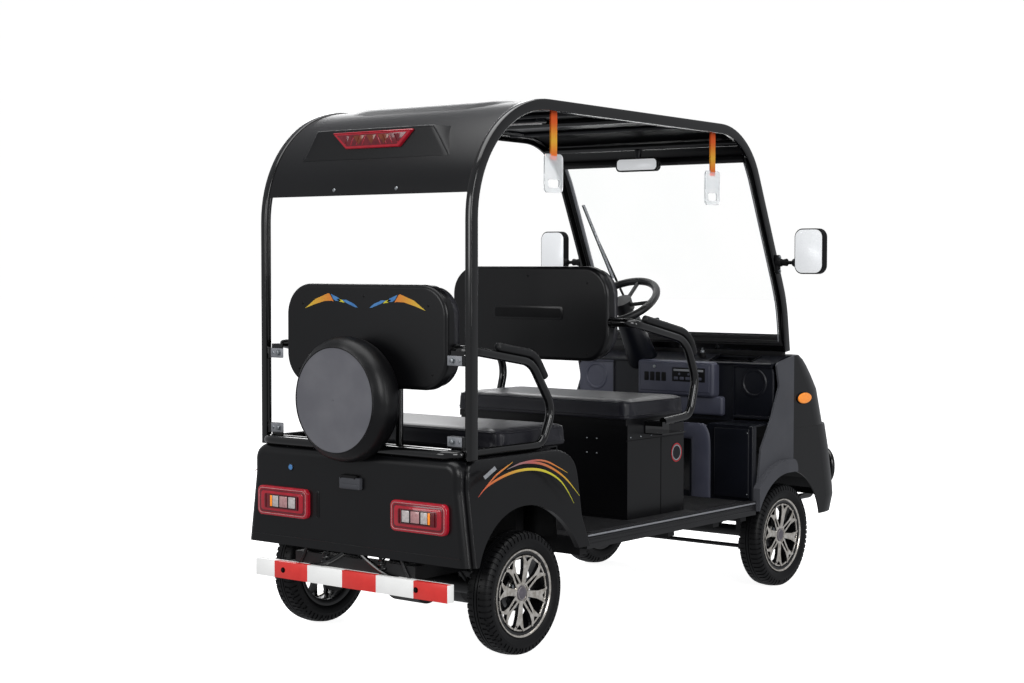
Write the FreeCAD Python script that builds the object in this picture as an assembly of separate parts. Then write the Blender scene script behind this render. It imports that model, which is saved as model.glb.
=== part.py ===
import FreeCAD, Part
import math
import os
from FreeCAD import Vector

# A small four-seat electric golf cart: two bench rows under a tube-framed roof.
# X runs to the vehicle's left, -Y is its front, Z is up, and the ground is at z = 0.
# The origin lies on the ground under the middle of the whole cart.

# Overall layout
wheelbase = 1650.0
rear_overhang = 393.0
front_overhang = 650.0
track = 880.0
body_half_width = 494.0
floor_top = 356.0
roof_height = 1822.0
seam = 0.3

# Wheels and tyres
tyre_radius = 203.0
tyre_width = 92.0
tyre_shoulder = 18.0
tyre_crown_drop = 3.0
bead_radius = 127.0
flange_radius = 143.4
flange_thickness = 4.0
rim_width = 80.0
rim_wall = 6.0
hub_radius = 32.0
hub_length = 62.0
spoke_plate = 14.0
spoke_setback = 12.0
spoke_width = 17.0
spoke_count = 8
cap_radius = 24.0
cap_depth = 6.0
shaft_radius = 10.0
shaft_clearance = 0.05

# Steering
kingpin_inset = 80.0
kingpin_radius = 8.0
kingpin_boss_radius = 17.0
kingpin_boss_height = 64.0
yoke_gap = 0.5
yoke_ear = 14.0
yoke_radius = 22.0
steering_arm_length = 110.0
steering_arm_width = 24.0
steering_arm_thickness = 12.0
ball_radius = 7.0
rod_radius = 8.0
rod_drop = 26.0
brake_plate_radius = 86.0
brake_plate_thickness = 10.0
column_x = 170.0
wheel_centre_from_axle = 189.0
wheel_centre_height = 1122.0
wheel_face_angle = 57.0
wheel_rim_radius = 150.0
wheel_rim_tube = 13.0
wheel_hub_radius = 42.0
wheel_hub_depth = 38.0
wheel_dish = 34.0
column_radius = 12.0
column_length = 330.0
shroud_radius = 34.0
shroud_length = 250.0
shroud_gap = 1.0
pitman_setback = 60.0
gear_width = 90.0
gear_bottom = 240.0
gear_height = 76.0
gear_shaft_radius = 12.0
boss_share = 1.2
shaft_foot_z = 317.9
shaft_share = 0.8
joint_gap = 1.0

# Chassis
rail_inset = 190.0
rail_width = 40.0
rail_height = 44.0
rail_bottom = 262.0
cross_width = 40.0
tube_wall = 3.0
beam_radius = 22.0
axle_tube_radius = 27.0
axle_end_inset = 68.0
diff_radius = 82.0
diff_width = 130.0
motor_radius = 88.0
motor_length = 230.0
shock_inset = 134.0
shock_radius = 17.0
spring_radius = 34.0
spring_wire = 9.0
spring_turns = 6
front_shock_inset = 128.0
front_shock_top = 520.0
rear_shock_top = 520.0

# Rear body
panel_wall = 5.0
rear_panel_y = 311.0
rear_body_top = 660.0
rear_body_bottom = 323.0
shoulder_draw = 32.0
shoulder_drop = 100.0
rear_front_y = 281.0
rear_foot_y = 312.0
rear_arch_radius = 288.0
fender_width = 94.0
cheek_rise = 14.0
cheek_round = 8.0
cheek_foot_y = 330.0
cheek_waist_y = 300.0
cheek_waist_z = 425.0
cheek_top_drop = 4.0
cheek_front_bend = 112.0
cheek_rear_bend = 62.0
cheek_foot_bend = 70.0
deck_start_y = 0.0
shoulder_radius = 52.0
corner_radius = 30.0

# Rear lamps and bumper bar
lamp_height = 100.0
lamp_width = 238.0
lamp_centre_x = 306.0
lamp_centre_z = 470.0
lamp_depth = 16.0
lamp_corner = 22.0
plate_lamp_width = 70.0
plate_lamp_height = 24.0
plate_lamp_z = 572.0
plate_lamp_depth = 16.0
bar_half_width = 432.0
bar_height = 56.0
bar_bottom = 211.5
bar_depth = 30.0
bar_gap = 17.0
bar_corner = 22.0
bar_bolt_x = 300.0
bar_bolt_radius = 5.0

# Seats
cushion_half_width = 405.0
front_cushion_depth = 390.0
rear_cushion_depth = 375.0
cushion_thickness = 72.0
cushion_corner = 34.0
cushion_edge = 16.0
front_cushion_rear = 684.0
front_cushion_rise = 18.0
rear_cushion_rear = -28.0
backrest_half_width = 362.0
backrest_height = 340.0
backrest_thickness = 82.0
backrest_corner = 105.0
shell_share = 0.42
front_backrest_y = 625.0
front_backrest_rise = 208.0
rear_backrest_y = -248.0
rear_backrest_rise = 208.0
backrest_edge = 14.0
seat_box_half_width = 390.0
seat_box_rear = 709.0
seat_box_front = 1074.0
seat_box_top = 700.0
seat_box_wall = 5.0
battery_half_width = 300.0
battery_height = 220.0
battery_margin = 50.0

# Arm tubes
arm_x = 455.0
rear_arm_x = 432.0
front_arm_high = 1067.0
front_arm_bend_y = 985.0
front_arm_bend_z = 997.0
front_arm_reach = 1052.0
front_arm_middle = 850.0
front_arm_low_y = 1012.0
front_arm_low_z = 716.0
front_clamp_y = 838.0
front_arm_foot = 706.0
front_pad_start = 712.0
rear_arm_high = 1000.0
rear_arm_bend_y = 95.0
rear_arm_bend_z = 952.0
rear_arm_reach = 212.0
rear_arm_middle = 790.0
rear_arm_low_y = 150.0
rear_pad_start = -88.0
loop_gap = 0.5
loop_rear_y = 296.0
support_x = 144.0
support_back = 232.0
arm_radius = 12.5
arm_bend = 60.0
pad_radius = 15.0
pad_drop_share = 0.45
wide_bend_share = 1.5
tight_bend_share = 0.8
collar_radius = 20.0
collar_length = 10.0

# Spare wheel cover
cover_radius = 208.0
cover_face_radius = 172.0
cover_rise = 172.0
cover_depth = 130.0
cover_nose = 72.0
cover_hem_radius = 140.0
cover_hem_depth = 47.0
cover_flare = 16.0
cover_round = 30.0

# Roof frame
tab_setback = 8.0
rear_bar_y = 170.0
middle_bar_y = 680.0
header_bar_y = 1330.0
header_bar_drop = 61.0
header_split_drop = 108.0
brake_lamp_width = 300.0
brake_lamp_height = 56.0
brake_lamp_drop = 132.0
brake_lamp_low_share = 0.36
brake_lamp_y = 200.0
brake_lamp_rise = 10.0
frame_outer_x = 473.0
frame_width = 27.0
frame_depth = 37.0
frame_lip = 13.0
frame_seat_depth = 19.0
frame_edge = 5.0
post_y = 262.0
post_sink = 5.0
rear_bend = 400.0
front_bend = 300.0
roof_front_corner_y = 1390.0
roof_fall = 26.0
pillar_knee_y = 1688.0
pillar_knee_z = 1128.0
pillar_foot_y = 1715.0
pillar_foot_z = 931.0
pillar_knee_bend = 500.0
roof_skin = 5.0
apron_length = 322.0
cross_tube_radius = 12.5
tab_length = 66.0
tab_height = 34.0
tab_thickness = 4.0
tab_rises = (52.0, 309.0)

# Windscreen
glass_thickness = 5.0
glass_foot_z = 952.0
wiper_foot_x = 300.0
wiper_foot_z = 1000.0
wiper_middle_x = 385.0
wiper_middle_z = 1370.0
wiper_low_x = 356.0
wiper_low_z = 1215.0
wiper_high_x = 412.0
wiper_high_z = 1520.0
wiper_out = 16.0
wiper_arm_radius = 5.0

# Front body
cowl_start = 1722.0
cowl_half_width = 486.0
cowl_top = 912.0
cowl_bottom = 260.0
cowl_step = 622.0
cowl_corner = 220.0
cowl_reach = 461.0
cowl_crown = 60.0
house_inset = 162.0
house_gap = 6.0
lip_width = 52.0
lip_rise = 22.0
lip_corner = 40.0
arch_stretch = 40.0
cowl_bend_share = 0.85
nose_bend_share = 2.0
fairing_top_y = 1585.0
fairing_top_z = 886.0
fairing_neck_y = 1609.0
fairing_neck_z = 796.0
fairing_waist_y = 1547.0
fairing_waist_z = 669.0
fairing_knee_y = 1474.0
fairing_knee_z = 560.0
front_arch_radius = 250.0
fairing_thickness = 8.0
fairing_foot_y = 1430.0
fairing_foot_z = 306.0

# Dashboard and leg shield
dash_half_width = 470.0
dash_rear_y = 1580.0
dash_rear_z = 880.0
dash_front_z = 914.0
dash_front_y = 1706.0
dash_thickness = 8.0
dash_panel_half_width = 290.0
dash_panel_depth = 40.0
ledge_height = 650.0
tray_outer_x = 360.0
tray_inner_x = 165.0
tray_rear_y = 1604.0
tray_front_y = 1680.0
pod_x = 385.0
pod_z = 800.0
pod_radius = 46.0
pod_edge_share = 0.4
toe_low_y = 1600.0
toe_high_y = 1760.0
toe_high_z = 560.0
passage_gap = 8.0
spoke_radius = 8.0
pedal_x = (90.0, 215.0)
pedal_y = 1600.0
pedal_reach = 50.0
pedal_shaft_z = 600.0
pedal_z = 430.0
pedal_width = 60.0
pedal_arm_radius = 7.0
shield_y = 1430.0
portal_half_width = 185.0
portal_top = 590.0
portal_depth = 46.0

# Sills and floor
sill_inset = 4.0
sill_width = 32.0
sill_steps = 5
sill_top = 358.0
sill_bottom = 308.0
floor_thickness = 10.0
floor_side_gap = 2.0

# Mirrors, straps and front lamps
inner_mirror_y = 1319.0
inner_mirror_drop = 68.0
mirror_bend_share = 0.7
inner_mirror_width = 200.0
inner_mirror_height = 54.0
inner_mirror_depth = 22.0
headlamp_reach = 352.0
headlamp_pocket = 300.0
hoop_front_share = 0.72
hoop_end_share = 0.45
mirror_x = 622.0
mirror_z = 1325.0
mirror_width = 126.0
mirror_height = 176.0
mirror_thickness = 30.0
mirror_corner = 34.0
mirror_y = 1590.0
mirror_arm_radius = 7.0
strap_width = 34.0
strap_thickness = 3.0
strap_length = 181.0
strap_x = 440.0
plate_width = 100.0
plate_height = 128.0
plate_thickness = 5.0
plate_corner = 16.0
plate_hole_share = 0.6
plate_hole_height = 28.0
strap_rear_y = 203.0
strap_front_y = 1182.0
headlamp_radius = 75.0
headlamp_x = 315.0
headlamp_z = 700.0
headlamp_depth = 50.0
marker_y = 1798.0
marker_z = 739.0
marker_length = 110.0
marker_height = 49.0
marker_depth = 10.0
marker_end_share = 0.48
hoop_tube_radius = 12.5
hoop_half_width = 395.0
hoop_top = 485.0
hoop_bottom = 350.0
hoop_bend = 62.0

# Places worked out from the layout
overall_length = wheelbase + rear_overhang + front_overhang
rear_axle_y = overall_length / 2 - rear_overhang
front_axle_y = rear_axle_y - wheelbase
wheel_x = track / 2
overrun = 20.0
kingpin_x = wheel_x - kingpin_inset
rail_x = wheel_x - rail_inset
axle_tube_end = wheel_x - axle_end_inset
shock_x = wheel_x - shock_inset
front_shock_x = wheel_x - front_shock_inset
house_inner_x = wheel_x - house_inset
house_wall_x = house_inner_x - house_gap
rear_shoulder_half_width = body_half_width - shoulder_draw
rear_shoulder_height = rear_body_top - shoulder_drop
fender_edge_x = body_half_width - fender_width
sill_outer_x = body_half_width - sill_inset
sill_inner_x = sill_outer_x - sill_width
floor_half_width = sill_inner_x - floor_side_gap
sill_front = fairing_foot_y - seam
floor_front = sill_front
front_cushion_bottom = seat_box_top + front_cushion_rise
front_backrest_bottom = front_cushion_bottom + front_backrest_rise
rear_backrest_bottom = rear_body_top + rear_backrest_rise
loop_height = rear_body_top + arm_radius + loop_gap
cover_height = rear_body_top + cover_rise
post_foot = rear_body_top - post_sink
tab_heights = [rear_body_top + rise for rise in tab_rises]
roof_front_corner_z = roof_height - roof_fall
header_bar_z = roof_front_corner_z - header_bar_drop
header_split_z = roof_front_corner_z - header_split_drop
brake_lamp_z = roof_height - brake_lamp_drop
apron_bottom = roof_height - apron_length
inner_mirror_z = header_bar_z - inner_mirror_drop


def ahead(distance):
    """The place this far ahead of the rear axle."""
    return rear_axle_y - distance


def block(x0, x1, y0, y1, z0, z1):
    low = Vector(min(x0, x1), min(y0, y1), min(z0, z1))
    return Part.makeBox(abs(x1 - x0), abs(y1 - y0), abs(z1 - z0), low)


def rod(start, end, radius):
    line = end - start
    return Part.makeCylinder(radius, line.Length, start, line)


def mirrored(shape):
    """The same shape on the other side of the cart."""
    return shape.mirror(Vector(0, 0, 0), Vector(1, 0, 0))


def pair(shape):
    """Two like pieces, one each side, in one node."""
    return Part.makeCompound([shape, mirrored(shape)])


def rounded_path(points, radii, closed=False):
    """A wire through the points whose corners are arcs of the given radii."""
    if not isinstance(radii, (list, tuple)):
        radii = [radii] * len(points)
    edges = []
    count = len(points)
    entries = []
    exits = []
    arcs = []
    for index, corner in enumerate(points):
        is_end = not closed and index in (0, count - 1)
        radius = 0 if is_end else radii[index]
        if radius <= 0:
            entries.append(corner)
            exits.append(corner)
            arcs.append(None)
            continue
        back = (points[index - 1] - corner).normalize()
        onward = (points[(index + 1) % count] - corner).normalize()
        half = back.getAngle(onward) / 2
        reach = radius / math.tan(half)
        inward = (back + onward).normalize()
        centre = corner + inward * (radius / math.sin(half))
        entries.append(corner + back * reach)
        exits.append(corner + onward * reach)
        arcs.append(centre - inward * radius)
    for index in range(count):
        if arcs[index] is not None:
            edges.append(Part.Arc(entries[index], arcs[index], exits[index]).toShape())
        if index == count - 1 and not closed:
            break
        start = exits[index]
        end = entries[(index + 1) % count]
        if (end - start).Length > seam / 100:
            edges.append(Part.makeLine(start, end))
    return Part.Wire(edges)


def pipe(points, bend, radius):
    """A round bar bent along the points."""
    path = rounded_path(points, bend)
    circle = Part.makeCircle(radius, points[0], points[1] - points[0])
    return path.makePipeShell([Part.Wire(circle)], True, False)


def slab(points, radii, depth):
    """A flat piece with rounded corners, pushed out along the depth vector."""
    face = Part.Face(rounded_path(points, radii, closed=True))
    return face.extrude(depth)


def side_plate(outline, radii, x0, x1):
    """A plate in the side view, its outline given as distance ahead and height."""
    points = [Vector(x0, ahead(distance), height) for distance, height in outline]
    return slab(points, radii, Vector(x1 - x0, 0, 0))


def turned(profile, centre):
    """A solid turned about the X axis through the centre, from (along, radius) pairs."""
    points = [centre + Vector(along, 0, radius) for along, radius in profile]
    face = Part.Face(Part.makePolygon(points + [points[0]]))
    return face.revolve(centre, Vector(1, 0, 0), 360)


def round_edges(shape, radius, keep):
    """Fillets the edges that the keep test picks."""
    edges = [edge for edge in shape.Edges if keep(edge)]
    return shape.makeFillet(radius, edges)


def along(edge, axis):
    """Whether an edge is straight and runs along the axis."""
    if not isinstance(edge.Curve, Part.Line):
        return False
    return abs(abs(edge.tangentAt(edge.FirstParameter).dot(axis)) - 1) < 0.001


AXIS_X = Vector(1, 0, 0)
AXIS_Y = Vector(0, 1, 0)
AXIS_Z = Vector(0, 0, 1)


# Wheels
def tyre(centre):
    half = tyre_width / 2
    seat = rim_width / 2 - flange_thickness - seam
    bulge_low = flange_radius + tyre_shoulder / 2
    bulge_high = tyre_radius - tyre_shoulder * 1.5
    shoulder = tyre_radius - tyre_shoulder / 2
    crown = tyre_radius - tyre_crown_drop / 3
    right = [
        (seat, bead_radius + seam),
        (seat, flange_radius + seam),
        (half - tyre_crown_drop * 2, bulge_low),
        (half, (bulge_low + bulge_high) / 2),
        (half - tyre_crown_drop, bulge_high),
        (half - tyre_shoulder / 2, shoulder),
        (half - tyre_shoulder, crown),
        (tyre_shoulder / 2, tyre_radius),
    ]
    left = [(-x, r) for x, r in reversed(right)]
    return turned(left + right, centre)


def rim(centre, side):
    """An eight-spoke rim whose face looks to the given side."""
    half = rim_width / 2
    inner = bead_radius - rim_wall
    barrel = turned([
        (-half, inner), (half, inner), (half, flange_radius),
        (half - flange_thickness, flange_radius),
        (half - flange_thickness, bead_radius),
        (flange_thickness - half, bead_radius),
        (flange_thickness - half, flange_radius),
        (-half, flange_radius),
    ], centre)
    face_out = half - spoke_setback
    face_in = face_out - spoke_plate
    ends = (face_in * side, face_out * side)
    hub_in = (face_out - hub_length) * side
    hub_out = (face_out + spoke_setback / 2) * side
    hub = rod(centre + Vector(hub_in, 0, 0), centre + Vector(hub_out, 0, 0), hub_radius)
    pieces = [hub]
    web = spoke_width / 2
    bite = rim_wall / 2
    spoke = block(ends[0], ends[1], -web, web, hub_radius - bite, inner + bite)
    for index in range(spoke_count):
        turn = 360.0 / spoke_count * index
        copy = spoke.copy()
        copy.rotate(Vector(0, 0, 0), AXIS_X, turn)
        copy.translate(centre)
        pieces.append(copy)
    wheel = barrel.multiFuse(pieces)
    bore_end = (face_out - cap_depth) * side
    bore = rod(centre + Vector(hub_in - overrun * side, 0, 0),
               centre + Vector(bore_end, 0, 0), shaft_radius + shaft_clearance)
    return wheel.cut(bore).removeSplitter()


def axle_stub(centre, side, start_x):
    """The round stub that a wheel turns on, up to the blind end of its hub."""
    tip = (rim_width / 2 - spoke_setback - cap_depth) - seam
    end = Vector(centre.x + tip * side, centre.y, centre.z)
    return rod(Vector(start_x * side, centre.y, centre.z), end, shaft_radius)


def hub_inner_x():
    """How far out the inner end of a wheel hub lies."""
    return wheel_x + rim_width / 2 - spoke_setback - hub_length


rear_left_wheel = Vector(wheel_x, rear_axle_y, tyre_radius)
front_left_wheel = Vector(wheel_x, front_axle_y, tyre_radius)


# Chassis
def rear_axle():
    centre = Vector(0, rear_axle_y, tyre_radius)
    reach = Vector(axle_tube_end, 0, 0)
    tube = rod(centre - reach, centre + reach, axle_tube_radius)
    half = Vector(diff_width / 2, 0, 0)
    casing = rod(centre - half, centre + half, diff_radius)
    motor_at = centre + Vector(diff_width / 2, -diff_radius - motor_radius / 2, 0)
    motor = rod(motor_at - Vector(motor_length, 0, 0), motor_at, motor_radius)
    shape = tube.multiFuse([casing, motor])
    for side in (-1, 1):
        drum = rod(centre + Vector(axle_tube_end * side, 0, 0),
                   centre + Vector((axle_tube_end - brake_plate_thickness) * side, 0, 0),
                   brake_plate_radius)
        stub = axle_stub(Vector(wheel_x * side, rear_axle_y, tyre_radius), side, axle_tube_end)
        seat = rod(centre + Vector((shock_x - shock_radius) * side, 0, 0),
                   centre + Vector((shock_x + shock_radius) * side, 0, 0),
                   axle_tube_radius + rim_wall)
        shape = shape.multiFuse([drum, stub, seat])
    return shape.removeSplitter()


def shock(x, y, low, high):
    """A coil-over shock: a damper with a grooved spring body round it."""
    foot = Vector(x, y, low)
    head = Vector(x, y, high)
    damper = rod(foot, head, shock_radius)
    rings = []
    span = high - low - 4 * spring_wire
    step = span / spring_turns
    for index in range(spring_turns + 1):
        height = low + 2 * spring_wire + step * index
        rings.append(Part.makeTorus(spring_radius - spring_wire / 2, spring_wire / 2,
                                    Vector(x, y, height), AXIS_Z))
    seats = [
        rod(Vector(x, y, low + spring_wire / 2), Vector(x, y, low + 2 * spring_wire), spring_radius),
        rod(Vector(x, y, high - 2 * spring_wire), Vector(x, y, high - spring_wire / 2), spring_radius),
    ]
    sleeve = rod(foot + Vector(0, 0, spring_wire), head - Vector(0, 0, spring_wire),
                 spring_radius - spring_wire)
    return damper.multiFuse(seats + [sleeve] + rings)


def rear_shocks():
    low = tyre_radius + axle_tube_radius + rim_wall + seam
    return pair(shock(shock_x, rear_axle_y, low, rear_shock_top - seam))


def front_axle():
    centre = Vector(0, front_axle_y, tyre_radius)
    inner = kingpin_x - kingpin_boss_radius - yoke_ear
    beam = rod(centre - Vector(inner, 0, 0), centre + Vector(inner, 0, 0), beam_radius)
    pieces = []
    half = kingpin_boss_height / 2 + yoke_gap
    for side in (-1, 1):
        back = block(side * (inner - yoke_ear), side * inner, front_axle_y - yoke_radius,
                     front_axle_y + yoke_radius, tyre_radius - half - yoke_ear,
                     tyre_radius + half + yoke_ear)
        pieces.append(back)
        for level in (-1, 1):
            z0 = tyre_radius + level * half
            z1 = tyre_radius + level * (half + yoke_ear)
            ear = block(side * inner, side * kingpin_x, front_axle_y - yoke_radius,
                        front_axle_y + yoke_radius, z0, z1)
            nose = rod(Vector(side * kingpin_x, front_axle_y, z0),
                       Vector(side * kingpin_x, front_axle_y, z1), yoke_radius)
            pieces.extend([ear, nose])
    seats = []
    for side in (-1, 1):
        seats.append(block(side * (front_shock_x - spring_radius), side * inner,
                           front_axle_y - yoke_radius, front_axle_y + yoke_radius,
                           tyre_radius, tyre_radius + half + yoke_ear))
    shape = beam.multiFuse(pieces + seats)
    for side in (-1, 1):
        pin = Vector(side * kingpin_x, front_axle_y, tyre_radius)
        reach = Vector(0, 0, half + yoke_ear + overrun)
        shape = shape.cut(rod(pin - reach, pin + reach, kingpin_radius + shaft_clearance))
    return shape.removeSplitter()


def front_shocks():
    low = tyre_radius + kingpin_boss_height / 2 + yoke_gap + yoke_ear + seam
    return pair(shock(front_shock_x, front_axle_y, low, front_shock_top - seam))


arm_end_y = front_axle_y + steering_arm_length
arm_z = tyre_radius - kingpin_boss_height / 4

# The pitman arm is parallel to the knuckles' arms, so it carries the track rod along
pitman_x = rail_x - rail_width / 2 - seam - gear_width / 2
pitman_y = front_axle_y - pitman_setback
pitman_z = arm_z - rod_drop


def knuckle(side):
    x = kingpin_x * side
    half = kingpin_boss_height / 2
    tip = half + yoke_gap + yoke_ear + cap_depth
    boss = rod(Vector(x, front_axle_y, tyre_radius - half),
               Vector(x, front_axle_y, tyre_radius + half), kingpin_boss_radius)
    pin = rod(Vector(x, front_axle_y, tyre_radius - tip),
              Vector(x, front_axle_y, tyre_radius + tip), kingpin_radius)
    carrier_x = hub_inner_x() - seam
    carrier = rod(Vector(x, front_axle_y, tyre_radius),
                  Vector(carrier_x * side, front_axle_y, tyre_radius), kingpin_boss_radius)
    plate_in = carrier_x - brake_plate_thickness
    plate = rod(Vector(plate_in * side, front_axle_y, tyre_radius),
                Vector(carrier_x * side, front_axle_y, tyre_radius), brake_plate_radius)
    stub = axle_stub(Vector(wheel_x * side, front_axle_y, tyre_radius), side, carrier_x)
    web = steering_arm_width / 2
    deck = steering_arm_thickness / 2
    arm = block(x - web, x + web, front_axle_y, arm_end_y, arm_z - deck, arm_z + deck)
    eye = rod(Vector(x, arm_end_y, arm_z - deck), Vector(x, arm_end_y, arm_z + deck), web)
    shape = boss.multiFuse([pin, carrier, plate, stub, arm, eye])
    hole = rod(Vector(x, arm_end_y, arm_z - overrun), Vector(x, arm_end_y, arm_z + overrun),
               ball_radius + shaft_clearance)
    return shape.cut(hole).removeSplitter()


def rod_end(x, y, rod_z, pin_radius):
    """A rod's eye under a steering arm, with the pin that goes up through it."""
    deck = steering_arm_thickness / 2
    eye = rod(Vector(x, y, rod_z - rod_radius - tube_wall),
              Vector(x, y, arm_z - deck - seam), rod_radius + tube_wall * 2)
    pin = rod(Vector(x, y, rod_z), Vector(x, y, arm_z + deck + tube_wall), pin_radius)
    return eye.fuse(pin)


def track_rod():
    rod_z = pitman_z
    bar = rod(Vector(-kingpin_x, arm_end_y, rod_z), Vector(kingpin_x, arm_end_y, rod_z), rod_radius)
    left = rod_end(kingpin_x, arm_end_y, rod_z, ball_radius)
    right = rod_end(-kingpin_x, arm_end_y, rod_z, ball_radius - tube_wall / 2)
    tip_y = front_axle_y - pitman_setback + steering_arm_length
    web = steering_arm_width / 2
    low = rod_z - steering_arm_thickness * 1.5 - seam
    high = rod_z - steering_arm_thickness / 2 - seam
    bracket = block(pitman_x - web, pitman_x + web, tip_y - web, arm_end_y + web, low, high)
    neck = block(pitman_x - web, pitman_x + web, arm_end_y - rod_radius, arm_end_y + web, low, rod_z)
    pin = rod(Vector(pitman_x, tip_y, low), Vector(pitman_x, tip_y, rod_z + steering_arm_thickness),
              ball_radius - tube_wall / 2)
    return bar.multiFuse([left, right, bracket, neck, pin]).removeSplitter()


def pitman_arm():
    web = steering_arm_width / 2
    deck = steering_arm_thickness / 2
    z0 = pitman_z - deck
    z1 = pitman_z + deck
    tip_y = pitman_y + steering_arm_length
    arm = block(pitman_x - web, pitman_x + web, pitman_y, tip_y, z0, z1)
    boss = rod(Vector(pitman_x, pitman_y, z0), Vector(pitman_x, pitman_y, z1), web * boss_share)
    eye = rod(Vector(pitman_x, tip_y, z0), Vector(pitman_x, tip_y, z1), web)
    shaft = rod(Vector(pitman_x, pitman_y, z0),
                Vector(pitman_x, pitman_y, gear_bottom + gear_height / 2), gear_shaft_radius)
    shape = arm.multiFuse([boss, eye, shaft])
    hole = rod(Vector(pitman_x, tip_y, z0 - overrun), Vector(pitman_x, tip_y, z1 + overrun),
               ball_radius + shaft_clearance)
    return shape.cut(hole).removeSplitter()


def steering_gear():
    half = gear_width / 2
    case = block(pitman_x - half, pitman_x + half, pitman_y - half, pitman_y + half,
                 gear_bottom, gear_bottom + gear_height)
    case = round_edges(case, corner_radius / 2, lambda e: along(e, AXIS_Z))
    bore = rod(Vector(pitman_x, pitman_y, gear_bottom - overrun),
               Vector(pitman_x, pitman_y, gear_bottom + gear_height / 2 + seam),
               gear_shaft_radius + shaft_clearance)
    return case.cut(bore)


def chassis_frame():
    top = rail_bottom + rail_height
    pieces = []
    front_end = ahead(wheelbase + steering_arm_length * 3)
    rear_end = rear_axle_y + rear_panel_y + bar_gap - bar_depth - seam
    for side in (-1, 1):
        x0 = side * (rail_x - rail_width / 2)
        x1 = side * (rail_x + rail_width / 2)
        pieces.append(block(x0, x1, front_end, rear_end, rail_bottom, top))
    reach = sill_inner_x - seam
    outriggers = [rear_foot_y + cross_width, (seat_box_rear + seat_box_front) / 2,
                  seat_box_front + cross_width * 3, sill_front - cross_width]
    deck = floor_top - floor_thickness - seam
    for distance in outriggers:
        y0 = ahead(distance) - cross_width / 2
        pieces.append(block(-reach, reach, y0, y0 + cross_width, top - rail_height / 2, deck))
    for y0 in (front_end, rear_end - cross_width):
        pieces.append(block(-rail_x, rail_x, y0, y0 + cross_width, rail_bottom, top))
    for side in (-1, 1):
        inner = side * (rail_x - rail_width / 2)
        wall = side * (rail_x - rail_width / 2 + tube_wall * 2)
        outer = side * (shock_x + spring_radius)
        y0 = rear_axle_y - cross_width
        y1 = rear_axle_y + cross_width
        crest = rear_shock_top + tube_wall * 2
        pieces.append(block(inner, wall, y0, y1, top, crest))
        pieces.append(block(inner, outer, y0, y1, rear_shock_top, crest))
        outer = side * (front_shock_x + spring_radius)
        inner = side * (front_shock_x - spring_radius - joint_gap)
        y0 = front_axle_y - spring_radius
        y1 = front_axle_y + spring_radius + tube_wall
        y2 = y1 + tube_wall * 2
        crest = front_shock_top + tube_wall * 2
        pieces.append(block(side * rail_x, outer, y1, y2, rail_bottom, top))
        pieces.append(block(inner, outer, y1, y2, top, crest))
        pieces.append(block(inner, outer, y0, y2, front_shock_top, crest))
        for distance in (rear_front_y - cross_width, -rear_panel_y + cross_width * 2):
            y0 = ahead(distance)
            pieces.append(block(side * (rail_x - rail_width / 2), side * (rail_x + rail_width / 2),
                                y0 - cross_width / 2, y0 + cross_width / 2,
                                top, rear_body_top - panel_wall - seam))
    for side in (-1, 1):
        inner = side * (rail_x - rail_width / 2)
        pieces.append(block(inner, side * (bar_bolt_x + cross_width / 2), rear_end - cross_width,
                            rear_end, bar_bottom, rail_bottom + tube_wall))
    shape = pieces[0].multiFuse(pieces[1:])
    for side in (-1, 1):
        hole = Vector(side * bar_bolt_x, rear_end - cross_width - overrun, bar_bottom + bar_height / 2)
        shape = shape.cut(rod(hole, hole + Vector(0, cross_width + overrun * 2, 0), bar_bolt_radius))
    return shape.removeSplitter()


def floor_pan():
    y0 = ahead(floor_front)
    y1 = ahead(rear_front_y) - seam
    sheet = block(-floor_half_width, floor_half_width, y0, y1, floor_top - floor_thickness, floor_top)
    return sheet


def sills():
    step = sill_width / sill_steps
    outline = [
        Vector(sill_inner_x, 0, sill_bottom), Vector(sill_outer_x, 0, sill_bottom),
        Vector(sill_outer_x, 0, sill_top - step * 2), Vector(sill_outer_x - step, 0, sill_top - step),
        Vector(sill_outer_x - step, 0, sill_top), Vector(sill_inner_x, 0, sill_top),
    ]
    placed = [point + Vector(0, ahead(sill_front), 0) for point in outline]
    length = sill_front - cheek_foot_y - seam
    bar = slab(placed, 0, Vector(0, length, 0))
    return pair(bar)


# Rear body
def rear_section(y0, y1, inset):
    """The rear body's cross section, drawn in by the inset and run from y0 to y1."""
    top = rear_body_top - inset
    low = rear_body_bottom - (overrun if inset else 0)
    slope = (body_half_width - rear_shoulder_half_width) / (rear_shoulder_height - rear_body_bottom)
    foot = body_half_width + slope * (rear_body_bottom - low) - inset
    shoulder = rear_shoulder_half_width - inset
    points = [
        Vector(-foot, y0, low), Vector(foot, y0, low),
        Vector(shoulder, y0, rear_shoulder_height), Vector(shoulder, y0, top),
        Vector(-shoulder, y0, top), Vector(-shoulder, y0, rear_shoulder_height),
    ]
    bend = shoulder_radius - inset
    radii = [0, 0, shoulder_radius * 2, bend, bend, shoulder_radius * 2]
    return slab(points, radii, Vector(0, y1 - y0, 0))


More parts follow.
